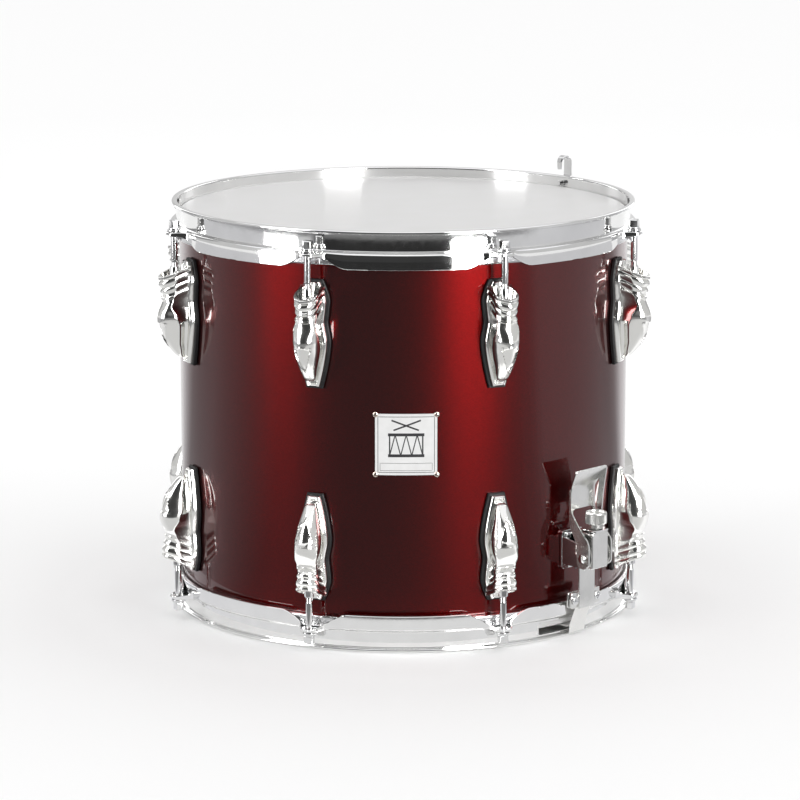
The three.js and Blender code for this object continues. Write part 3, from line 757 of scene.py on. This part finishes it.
def rod_mesh():
    """A threaded rod with a square key head on a collar."""
    angles = [2 * pi * i / 32 for i in range(32)]

    def level(radius, up, square=False):
        reach = [max(abs(cos(a)), abs(sin(a)), 0.78) if square else 1 for a in angles]
        return [(ROD_CIRCLE + radius / r * cos(a), radius / r * sin(a), up)
                for a, r in zip(angles, reach)]

    thread_end, seat = 122, 146.7
    shank = [(1.6, ROD_TIP), (2.1, ROD_TIP + 0.8)] + thread(ROD_TIP + 1, thread_end, ROD_RADIUS, 2.2)
    shank += [(2.4, thread_end), (ROD_RADIUS, thread_end + 0.6), (ROD_RADIUS, seat)]
    collar = [(4.3, seat), (4.6, 147), (4.6, 147.7), (4.2, 148.1)]
    head = [(3.3, 148.2), (3.4, 148.5), (3.4, 153.2), (2.9, 153.9), (1.2, 154)]
    return shaded(loft([level(*p) for p in shank + collar] + [level(*p, square=True) for p in head]), 30)


def lug_screw_mesh():
    """The two screws that hold a lug from inside the shell, each on a washer."""
    inside = SHELL_RADIUS - SHELL_WALL
    washer_back, washer_front = inside - 1.8, inside - 0.9
    profile = [(HUB, -4.6), (2.2, -4.4), (3.4, -3.4), (3.6, -1.9), (HUB, -1.9)]
    head = [(radius, inside + out) for radius, out in profile]
    parts = []
    for height in (56, 108):
        centre = (0, 0, height)
        parts.append(turned(head, 20, axis="x", centre=centre))
        washer = rectangle((2.4, 5.5), (washer_back, washer_front))
        parts.append(turned(washer, 24, closed=True, axis="x", centre=centre))
    return shaded(joined(*parts))


def add_lugs_and_rods():
    cast, gasket, insert = lug_meshes()
    rod, screws = rod_mesh(), lug_screw_mesh()
    ring = rounded(rectangle((2.9, 5.6), (145.2, 146.6)), 0.45, 3)
    washer = shaded(turned(ring, closed=True, centre=(ROD_CIRCLE, 0, 0)))
    for side, turned_over in (("batter", False), ("snare", True)):
        for i, azimuth in enumerate(ROD_AZIMUTHS, 1):
            where, turning = place(azimuth, turned_over), f"{side}_rod_{i}"
            piece(f"{side}_lug_casting_{i}", cast, where, LUG_CHROME, "drum", "lug_chrome", f"{side}_lug_{i}")
            piece(f"{side}_lug_gasket_{i}", gasket, where, RUBBER, "drum")
            piece(f"{side}_lug_insert_{i}", insert, where, STEEL, "drum", "steel")
            piece(f"{side}_lug_screws_{i}", screws, where, STEEL, "drum", "steel")
            piece(f"{side}_key_rod_{i}", rod, where, STEEL, turning, "steel", f"{side}_tension_rod_{i}")
            piece(f"{side}_rod_washer_{i}", washer, where, STEEL, turning, "steel")


# Badge.
BADGE_LOW, BADGE_HIGH = size_of("badge_plate")
BADGE_HALF = (BADGE_HIGH.z - BADGE_LOW.z) / 2
BADGE_MIDDLE = (BADGE_HIGH.z + BADGE_LOW.z) / 2 - HALF_HEIGHT
BADGE_INNER, BADGE_OUTER = 176.65, 177.7


def ink_line(points, width):
    """A printed line that stands just proud of the badge, with points from the badge's middle."""
    step, buried, proud = 1.5, 0.1, 0.05
    line = [Vector(points[0])]
    for start, end in zip(points, points[1:]):
        start, end = Vector(start), Vector(end)
        count = max(1, round((end - start).length / step))
        line += [start.lerp(end, i / count) for i in range(1, count + 1)]
    under, over = BADGE_OUTER - buried, BADGE_OUTER + proud
    loops = []
    for i, point in enumerate(line):
        along = (line[min(i + 1, len(line) - 1)] - line[max(i - 1, 0)]).normalized()
        across = Vector((-along.y, along.x)) * width / 2
        left, right = point + across, point - across
        section = [(under, left), (over, left), (over, right), (under, right)]
        loops.append([(out, end.x, end.y + BADGE_MIDDLE) for out, end in section])
    bm = loft(loops)
    bend_round_axis(bm, BADGE_OUTER)
    return bm


def badge_print():
    """A frame, an empty label box and a plain side drum with a pair of sticks."""
    frame_half, label_half = BADGE_HALF - 2.2, BADGE_HALF - 3.8
    label_low, label_high = 1.4 - frame_half, 7 - frame_half
    top, bottom, side, overhang, cords = 7.6, -8.4, 12.4, 1.2, 6
    cord = [(-side + 2 * side * i / cords, top if i % 2 else bottom) for i in range(cords + 1)]
    frame_box = rectangle((-frame_half, frame_half), (-frame_half, frame_half))
    label_box = rectangle((-label_half, label_half), (label_low, label_high))
    lines = [ink_line(frame_box + frame_box[:1], 0.4), ink_line(label_box + label_box[:1], 0.25)]
    lines += [ink_line([(-side - overhang, up), (side + overhang, up)], 2.2) for up in (top, bottom)]
    lines += [ink_line([(end, bottom), (end, top)], 1.0) for end in (-side, side)]
    lines += [ink_line(cord, 0.8)]
    lines += [ink_line([(-11 * way, 18.6), (9.5 * way, 11)], 1.2) for way in (1, -1)]
    return joined(*lines)


def add_badge():
    where = place(0)
    heights = (BADGE_MIDDLE - BADGE_HALF, BADGE_MIDDLE + BADGE_HALF)
    badge = curved_plate((-BADGE_HALF, BADGE_HALF), heights, (BADGE_INNER, BADGE_OUTER), 0.7, 0.25)
    piece("badge_enamel_plate", shaded(badge, 30), where, ENAMEL, "drum", "badge", "badge_plate")
    piece("badge_emblem", shaded(badge_print(), 30), where, PRINT, "drum")
    reach, radius, shank, rise = BADGE_HALF - 0.5, 2.1, 0.8, 1.1
    profile = [(shank, 174), (shank, BADGE_OUTER - 0.1), (radius, BADGE_OUTER - 0.1)]
    profile += dome(radius, BADGE_OUTER + 0.1, rise, 10)
    pins = []
    for side in (-reach, reach):
        for up in (-reach, reach):
            pin = turned(profile, 28, axis="x", centre=(0, 0, BADGE_MIDDLE + up))
            pins.append(round_shell(pin, side))
    piece("badge_pins", shaded(joined(*pins), 40), where, PIN_METAL, "drum")


# Sling hook, bolted through the upper collar.
def add_hook():
    where = place(HOOK_AZIMUTH)
    bolt_height, bolt_bore = 155.2, 1.95
    bolt_centre = (0, 0, bolt_height)
    stem, curl_radius, tip, width, sheet = 183.2, 4.8, 177.7, 10.3, 1.75
    curl_middle = tip - curl_radius - 0.9
    curl = arc_points((stem - curl_radius, curl_middle), curl_radius, 0, 180, 24)
    end = stem - 2 * curl_radius
    line = [(stem, 151.9), (stem, 158), (stem, 165)] + curl + [(end, 168.6), (end, 167.2), (end, 166.7)]
    widths = [width, 9.4, 8.2] + [8 - 3.4 * i / len(curl) for i in range(len(curl))] + [4.4, 4, 3]
    foot = block((178.75, 183.6), (-width / 2, width / 2), (151.3, 157.4), 0.5)
    hole = cylinder(bolt_bore, (177, 186), centre=bolt_centre)
    hook = combined(combined(strap(line, widths, sheet, 0.5), [foot], "UNION"), [hole])
    piece("hook_strap", shaded(hook, 36), where, STEEL, "drum", "steel", "sling_hook")
    screw = slotted_screw(3.2, (184.3, 186.3), 1.6, 172.6, (0, bolt_height), 30)
    piece("hook_bolt", shaded(screw, 36), where, STEEL, "drum", "steel", "sling_hook_screw")
    near, far = 173.4, 176.3
    hexagon = rounded(arc_points((0, bolt_height), 2.5, 0, 300, 5), 0.3, 2)
    hole = cylinder(bolt_bore, (near - 1.4, far + 1.7), centre=bolt_centre)
    nut = combined(plate(hexagon, near, far, "yz", 0.25), [hole])
    piece("hook_nut", shaded(nut, 30), where, STEEL, "drum", "steel", "sling_hook_nut")


# Snare strainer.
THUMB_SCREW_BORE = 2.6
BASE_DEPTHS = (176.65, 178.6)
SHEET_ROOT = 177.6
CLAMP_HEIGHTS = (-136.5, -124)
CLAMP_HALF_WIDTH = 16.8
CLAMP_SCREW_SIDE = 12.7
CLAMP_FRONT = (190, 191.9)
CLAMP_REAR = (187.2, 188.8)
RIBBON_WIDTH = 18


def plate_screws(places):
    """Round-headed screws through a plate on the shell, at [side, up] places."""
    screws = []
    for i, (side, up) in enumerate(places):
        screw = slotted_screw(2.7, (178.5, 180.5), 1.3, 176, (0, up), 35 * i + 20)
        screws.append(round_shell(screw, side))
    return shaded(joined(*screws), 36)


def pivot_turned(profile, sign=1):
    """A solid of revolution of [radius, side] points about the lever's pivot."""
    return turned([(radius, sign * side) for radius, side in profile], 28, axis="y",
                  centre=(PIVOT_RADIUS, 0, PIVOT_HEIGHT))


def strainer_base():
    half, cheek_inner, cheek_outer = 12.2, 10.2, 11.8
    base = curved_plate((-half, half), (-108, -78), BASE_DEPTHS, 3.2)
    cheek = [(SHEET_ROOT, -104), (202, -104), (205, -98), (203, -89), (192, -85), (SHEET_ROOT, -82)]
    cheek = rounded(cheek, 2.4, 5)
    cheek_sides = ((-cheek_outer, -cheek_inner), (cheek_inner, cheek_outer))
    base = combined(base, [plate(cheek, *sides, "xz") for sides in cheek_sides], "UNION")
    rivet = [(HUB, 11.4), (2, 11.4), (2, 14.3), (3.3, 14.3), (3.4, 14.5), (3.1, 15), (2.2, 15.3), (HUB, 15.4)]
    return joined(base, *[pivot_turned(rivet, sign) for sign in (-1, 1)])


def lever_wing():
    """The tapered wing that stiffens the flap's right side, bowed a little inwards."""
    low_ends = Vector((190.4, 14.6, -66.5)), Vector((194.8, 14.6, -66.5))
    high_ends = Vector((191.8, 16.1, -36)), Vector((197, 18, -29.6))
    half_sheet, bow, spans = Vector((0, 0.55, 0)), 0.8, 8
    loops = []
    for i in range(spans + 1):
        t = i / spans
        inner, outer = [low.lerp(high, t) - Vector((0, bow * sin(pi * t), 0))
                        for low, high in zip(low_ends, high_ends)]
        loops.append([inner - half_sheet, outer - half_sheet, outer + half_sheet, inner + half_sheet])
    return loft(loops)


def lever_fork():
    """The throw-off lever: a pressed face with a window, two cranked arms, a flap that leans out and
    the wing on it."""
    lean, length, bend, middle, sheet = radians(31.5), 17.8, -43.4, 187.8, 1.5
    flap_end = (middle + length * sin(lean), bend + length * cos(lean))
    line = rounded([(middle, -67), (middle, bend), flap_end], 4.5, 6, closed=False)
    flap_start, flap_shares = Vector(line[-2]), (0.3, 0.6, 0.8, 0.9, 0.97, 1)
    line = line[:-1] + [tuple(flap_start.lerp(Vector(flap_end), share)) for share in flap_shares]
    low, high = 27.4, 36.4
    corner = [0, 0, 0, 0.5, 1.6, 3.6]
    widths = [low + (high - low) * max(0, (up - bend) / (flap_end[1] - bend)) for _, up in line]
    widths[-6:] = [wide - cut for wide, cut in zip(widths[-6:], corner)]
    window = plate(rounded(rectangle((-11.4, 11.4), (-90, -59.6)), 3, 6), 180, 195, "yz", 0.05)
    face = combined(strap(line, widths, sheet, 0.25), [window])
    arm = rounded([(188.6, -44), (188.6, -62), (196, -72), (206.5, -84), (206.5, -101), (203.5, -104),
                   (197, -104), (194.5, -101), (194.5, -86), (186.5, -72), (186.5, -44)], 3, 4)
    arms = [plate(arm, near, far, "xz") for near, far in ((-14, -12.3), (12.3, 14))]
    fork = combined(face, arms + [lever_wing()], "UNION")
    return combined(fork, [pivot_turned([(2.3, near), (2.3, near + 3.7)]) for near in (-15, 11.3)])


def screw_hole(low, high):
    return cylinder(THUMB_SCREW_BORE, (low, high), 28, "z", (THUMB_SCREW_RADIUS, 0, 0))


def carriage_bracket():
    back, up, front = 189.4, -75, 208
    line = rounded([(back, -106), (back, up), (front, up)], 2.6, 6, closed=False)
    line = line[:-1] + [(out, up) for out in (204, 206.5, 207.6, front)]
    widths = [19] * (len(line) - 9) + [17.2] * 6 + [16.6, 15, 12.6]
    return combined(strap(line, widths, 1.6, 0.25), [screw_hole(up - 3, up + 3)])


def thumb_screw():
    """A knurled wheel on a collar, dished on top, with a threaded shank."""
    teeth, steps, flute = 48, 4, 0.45
    angles = [2 * pi * i / (teeth * steps) for i in range(teeth * steps)]

    def ring(radius, up, depth=0.0):
        reach = [radius - depth * (0.5 - 0.5 * cos(teeth * a)) for a in angles]
        return [(THUMB_SCREW_RADIUS + r * cos(a), r * sin(a), up) for r, a in zip(reach, angles)]

    shank = [(1.3, -92), (1.7, -91.6)] + thread(-91, -76, 2.1, 1.75) + [(2.1, -75.6), (2.1, -73.7)]
    collar = [(5.2, -73.7), (5.6, -73.3), (5.6, -72.6), (5.2, -72.3), (5.2, -71.4), (5.6, -71.1),
              (5.6, -70.3), (7.6, -69.9), (8.1, -69.7)]
    grip = [(8.3, -69.3), (8.3, -68.9), (8.3, -62.9), (8.2, -62.5)]
    dish = [(8.2, -62.1), (8.0, -61.3), (7.5, -60.85), (7.0, -60.8), (6.6, -61.0), (6.3, -62.0), (3.4, -62.5),
            (3.0, -62.3), (HUB, -62.2)]
    fluted = [ring(*point, depth=flute) for point in grip]
    return loft([ring(*point) for point in shank + collar] + fluted + [ring(*point) for point in dish])


def clamp_plate(depths):
    """A clamp plate with rounded ears, drilled for its two screws."""
    near, far = depths
    outline = rounded(rectangle((-CLAMP_HALF_WIDTH, CLAMP_HALF_WIDTH), CLAMP_HEIGHTS), 2.4, 5)
    holes = [cylinder(1.9, (near - 1, far + 1), centre=(0, side, sum(CLAMP_HEIGHTS) / 2))
             for side in (-CLAMP_SCREW_SIDE, CLAMP_SCREW_SIDE)]
    return combined(plate(outline, near, far, "yz", 0.35), [joined(*holes)])


def slider_block():
    """A box on the thumb screw, with a flat bar down to the front clamp plate."""
    box = block((196.6, 206.3), (-9.3, 9.3), (-104.5, -76.6), 0.8)
    bar = strip([(199, -101.2), (192.6, -101.2), (192.6, -137)], RIBBON_WIDTH, 1.7, 0.25, 1.6)
    return combined(combined(box, [bar, clamp_plate(CLAMP_FRONT)], "UNION"), [screw_hole(-94, -75)])


def ribbon(tail):
    """The ribbon from its clamp past the hoop and in through the gate, and its free end over the lip."""
    routes = [[(189.35, -124), (189.35, -137.5), (184.2, -150), (183, -152.1), (181, -153.15),
               (141.5, -153.15)]]
    if tail:
        routes.append([(186.2, -145.15), (184.1, -150.3), (183.2, -158)])
    return shaded(joined(*[strip(route, RIBBON_WIDTH, 0.5, 0.15, 2.5, 6) for route in routes]), 50)


def snare_wires():
    """Twenty coiled wires, and the plates that hold their ends."""
    count, band, half_length, level = 20, 38.4, 141, -153.6
    coil, wire, pitch, per_turn, sides, taper = 0.55, 0.22, 3.0, 8, 5, 5
    steps = int(2 * half_length / pitch * per_turn)
    angles = [2 * pi * j / sides for j in range(sides)]
    loops = []
    for i in range(steps + 1):
        out = -half_length + 2 * half_length * i / steps
        reach = coil * min(1, (half_length - abs(out)) / taper)
        turn = 2 * pi * i / per_turn
        radial = Vector((0, cos(turn), sin(turn)))
        middle = Vector((out, 0, level)) + radial * reach
        climb = 2 * pi * reach
        along = Vector((pitch, -climb * sin(turn), climb * cos(turn))).normalized()
        across = along.cross(radial)
        loops.append([middle + (radial * cos(a) + across * sin(a)) * wire for a in angles])
    wires = []
    for i in range(count):
        bm = loft(loops)
        bmesh.ops.translate(bm, verts=bm.verts, vec=(0, -band / 2 + band * i / (count - 1), 0))
        wires.append(bm)
    outlines = [rounded(rectangle(span, (-20, 20)), 1.6, 4) for span in ((-148, -139), (139, 148))]
    ends = [plate(outline, -154.7, -153.7, "xy", 0.25) for outline in outlines]
    return shaded(joined(*wires), 60), shaded(joined(*ends), 30)


def add_clamp_screws(prefix, where, body, node_prefix):
    height = sum(CLAMP_HEIGHTS) / 2
    for name, side, angle in (("left", -CLAMP_SCREW_SIDE, 62), ("right", CLAMP_SCREW_SIDE, -35)):
        screw = slotted_screw(3.3, (192.2, 194.2), 1.5, 186, (side, height), angle)
        piece(f"{prefix}_{name}", shaded(screw, 36), where, STEEL, body, "steel", f"{node_prefix}_{name}")


def add_strainer():
    where = place(STRAINER_AZIMUTH)
    piece("strainer_body", shaded(strainer_base(), 34), where, CHROME, "drum", "chrome", "strainer_base")
    screws = plate_screws([(-6, -82), (6, -82), (0, -104.6)])
    piece("strainer_plate_screws", screws, where, STEEL, "drum", "steel")
    for name, bm, material, body, node in (
            ("lever_fork", lever_fork(), SATIN_PLATE, "throw_off", "throw_off_lever"),
            ("carriage_bracket", carriage_bracket(), CHROME, "carriage", "strainer_carriage"),
            ("knurled_screw", thumb_screw(), KNOB_METAL, "thumb_screw", "snare_thumb_screw"),
            ("slider_box", slider_block(), SATIN_PLATE, "snare_set", "snare_slider"),
            ("rear_clamp", clamp_plate(CLAMP_REAR), SATIN_PLATE, "snare_set", "ribbon_clamp_plate")):
        piece(name, shaded(bm, 34), where, material, body, "chrome", node)
    add_clamp_screws("clamp_screw", where, "snare_set", "ribbon_clamp_screw")
    piece("front_ribbon", ribbon(True), where, TAPE, "snare_set", "ribbon", "snare_ribbon_front")
    wires, ends = snare_wires()
    piece("coiled_wires", wires, where, SNARE_STEEL, "snare_set", "snare_wire", "snare_wires")
    piece("wire_end_plates", ends, where, BRASS, "snare_set")


def add_butt():
    """The bracket across the drum from the strainer, which holds the rear ribbon."""
    where = place(BUTT_AZIMUTH)
    base = curved_plate((-14, 14), (-128, -94), BASE_DEPTHS, 3)
    arm = strip([(SHEET_ROOT, -114.75), (188, -114.75), (188, -128)], RIBBON_WIDTH, 1.6, 0.25, 2.2)
    bracket = combined(base, [arm, clamp_plate(CLAMP_REAR)], "UNION")
    piece("butt_body", shaded(bracket, 34), where, CHROME, "drum", "chrome", "butt_bracket")
    screws = plate_screws([(-10.5, -98), (10.5, -98), (-10.5, -124), (10.5, -124)])
    piece("butt_plate_screws", screws, where, STEEL, "drum", "steel")
    clamp = shaded(clamp_plate(CLAMP_FRONT), 34)
    piece("butt_front_clamp", clamp, where, CHROME, "drum", "chrome", "butt_clamp_bar")
    add_clamp_screws("butt_screw", where, "drum", "butt_clamp_screw")
    piece("rear_ribbon", ribbon(False), where, TAPE, "drum", "ribbon", "snare_ribbon_rear")


# Camera, floor and studio, in metres.
SIDE_COOLNESS = 0.03
WORLD_MATT = 1.06
WORLD_GLOSSY = 0.62


def add_camera():
    """A long lens in front of the drum and a little above it."""
    distance, azimuth, elevation = 3.0, radians(-0.7), radians(11.23)
    data = bpy.data.cameras.new("camera")
    data.sensor_width, data.lens = 36, 170
    data.shift_x, data.shift_y = -0.0041, -0.0029
    camera = linked("camera", data)
    level = Vector((sin(azimuth), -cos(azimuth), 0))
    out = level * cos(elevation) + Vector((0, 0, sin(elevation)))
    camera.location = Vector((0, 0, HALF_HEIGHT * MM)) + out * distance
    camera.rotation_mode = "QUATERNION"
    camera.rotation_quaternion = (-out).to_track_quat("-Z", "Y")
    bpy.context.scene.camera = camera


def staged(name, vertices, faces, material):
    """A flat piece of the studio."""
    mesh = bpy.data.meshes.new(name)
    mesh.from_pydata(vertices, [], faces)
    mesh.materials.append(material)
    made = linked(name, mesh)
    return made


def glow_material():
    """A glow that needs no light of its own, in the colour that the card's own attribute gives."""
    black = (0, 0, 0, 1)
    nodes = Nodes("glow", Roughness=1.0, Specular_IOR_Level=0.0, Base_Color=black, Emission_Strength=1.0)
    nodes.link("Emission Color", nodes.add("ShaderNodeAttribute", attribute_name="glow").outputs["Color"])
    return nodes.material


def card(name, stops, near, far, material):
    """A curved card between two [distance, height] lines round the drum, seen in reflections only.
    Its brightness runs between (azimuth, brightness) stops, a little cooler at the drum's sides."""
    degrees_apart = 4
    azimuths, brightness = [], []
    for (start, low), (end, high) in zip(stops, stops[1:]):
        steps = max(1, round((end - start) / degrees_apart))
        azimuths += [start + (end - start) * i / steps for i in range(steps)]
        brightness += [low + (high - low) * i / steps for i in range(steps)]
    azimuths, brightness = azimuths + [stops[-1][0]], brightness + [stops[-1][1]]
    angles = [radians(azimuth) for azimuth in azimuths]
    count = len(angles)
    vertices = [(d * sin(a), -d * cos(a), z) for d, z in (near, far) for a in angles]
    made = staged(name, vertices, [(i, i + 1, count + 1 + i, count + i) for i in range(count - 1)], material)
    glow = made.data.attributes.new("glow", "FLOAT_COLOR", "POINT")
    colors = [(b, b, b * (1 + SIDE_COOLNESS * sin(a) ** 2), 1) for b, a in zip(brightness, angles)]
    glow.data.foreach_set("color", [channel for color in colors * 2 for channel in color])
    made.visible_camera = False
    made.visible_diffuse = False
    made.visible_shadow = False


def area_light(name, shape, size, power, location, rotation):
    """A soft light that isn't seen itself and leaves matt surfaces alone."""
    data = bpy.data.lights.new(name, "AREA")
    data.shape = shape
    data.size, data.size_y = size
    data.energy = power
    made = linked(name, data)
    made.location, made.rotation_euler = location, rotation
    made.visible_camera = False
    made.visible_diffuse = False
    return made


def panel(name, azimuth, distance, width, height, brightness):
    """A soft upright panel that stands on the floor, faces the drum and lights what is glossy."""
    angle = radians(azimuth)
    location = (distance * sin(angle), -distance * cos(angle), height / 2)
    power = brightness * pi * width * height
    area_light(name, "RECTANGLE", (width, height), power, location, (radians(90), 0, angle))


def floor_bounce(lit, diameter, brightness):
    """Light that comes up from the floor to the pieces whose names start with one of those in lit."""
    power = brightness * pi * pi * diameter * diameter / 4
    size, location, facing_up = (diameter, diameter), (0, 0, 0.004), (pi, 0, 0)
    made = area_light("floor_bounce", "DISK", size, power, location, facing_up)
    receivers = bpy.data.collections.new("lit_from_the_floor")
    for node in bpy.data.objects:
        if node.name.startswith(lit):
            receivers.objects.link(node)
    made.light_linking.receiver_collection = receivers


def add_world():
    """White to the eye and to matt surfaces, and grey in reflections."""
    world = bpy.data.worlds.new("studio")
    world.use_nodes = True
    tree = world.node_tree
    background = tree.nodes["Background"]
    background.inputs["Color"].default_value = (1, 1, 1, 1)
    rays = new_node(tree, "ShaderNodeLightPath").outputs
    seen = {"Value": rays["Is Camera Ray"], "To Min": WORLD_MATT, "To Max": 1.0}
    direct = new_node(tree, "ShaderNodeMapRange", seen).outputs[0]
    mixed = {"Factor": rays["Is Glossy Ray"], "A": direct, "B": WORLD_GLOSSY}
    strength = new_node(tree, "ShaderNodeMix", mixed).outputs["Result"]
    tree.links.new(strength, background.inputs["Strength"])
    bpy.context.scene.world = world


def add_studio():
    half, level, near_edge, middle_edge, far_edge = 14, 0.002, 0.27, 1.96, 3.6
    floor_material = Nodes("floor", Roughness=0.9, Base_Color=(0.94, 0.94, 0.94, 1)).material
    corners = [(x, y, 0) for x, y in rectangle((-half, half), (-half, half))]
    staged("floor", corners, [(0, 1, 2, 3)], floor_material)
    glow = glow_material()
    dark_stops = [(-54, 0.6), (-44, 0.05), (21, 0.04), (24, 0.6)]
    card("dark_behind_camera", dark_stops, (far_edge, 0), (far_edge, 4.2), glow)
    card("floor_near", [(-180, 0.8), (180, 0.8)], (0.2, level), (near_edge, level), glow)
    middle_stops = [
        (-180, 0.85), (-150, 0.95), (-142, 0.7), (-131, 0.34), (-122, 0.36), (-107, 0.47), (-89, 0.41),
        (-75, 0.31), (-62, 0.22), (40, 0.22), (52, 0.28), (62, 0.42), (68, 0.64), (75, 0.66), (95, 0.58),
        (112, 0.48), (120, 0.36), (128, 0.36), (139, 0.95), (150, 0.95), (180, 0.85),
    ]
    card("floor_middle", middle_stops, (near_edge, level), (middle_edge, level), glow)
    far_stops = [(-118, 0.65), (-46, 0.65), (-43, 0.03), (21, 0.03), (24, 0.65), (118, 0.65)]
    card("floor_far", far_stops, (middle_edge, level), (far_edge, level), glow)
    backdrop, ceiling = 3.2, 3.4
    back_stops = [(118, 0.42), (125, 0.4), (135, 0.7), (160, 0.8), (199, 0.6), (225, 0.3), (242, 0.34)]
    card("backdrop", back_stops, (backdrop, 0), (backdrop, 2.6), glow)
    card("ceiling", [(-180, 1.1), (180, 1.1)], (0.05, ceiling), (backdrop, ceiling), glow)
    panel("panel_left", -61.7, 2.02, 0.665, 2.2, 7.6)
    panel("panel_right", 32.6, 2.02, 0.75, 2.2, 14.5)
    panel("panel_rear_left", 215, 2.2, 0.5, 1.9, 1.5)
    panel("panel_rear_right", 150, 2.2, 0.5, 1.9, 1.5)
    floor_bounce(("batter_lug_casting", "snare_lug_casting"), 1.6, 0.45)
    add_world()
    bpy.context.scene.view_settings.view_transform = "Standard"


add_camera()
add_shell()
for head_side, head_over in (("batter", False), ("snare", True)):
    add_head(head_side, head_over)
add_hoops()
add_lugs_and_rods()
add_badge()
add_hook()
add_strainer()
add_butt()
add_studio()
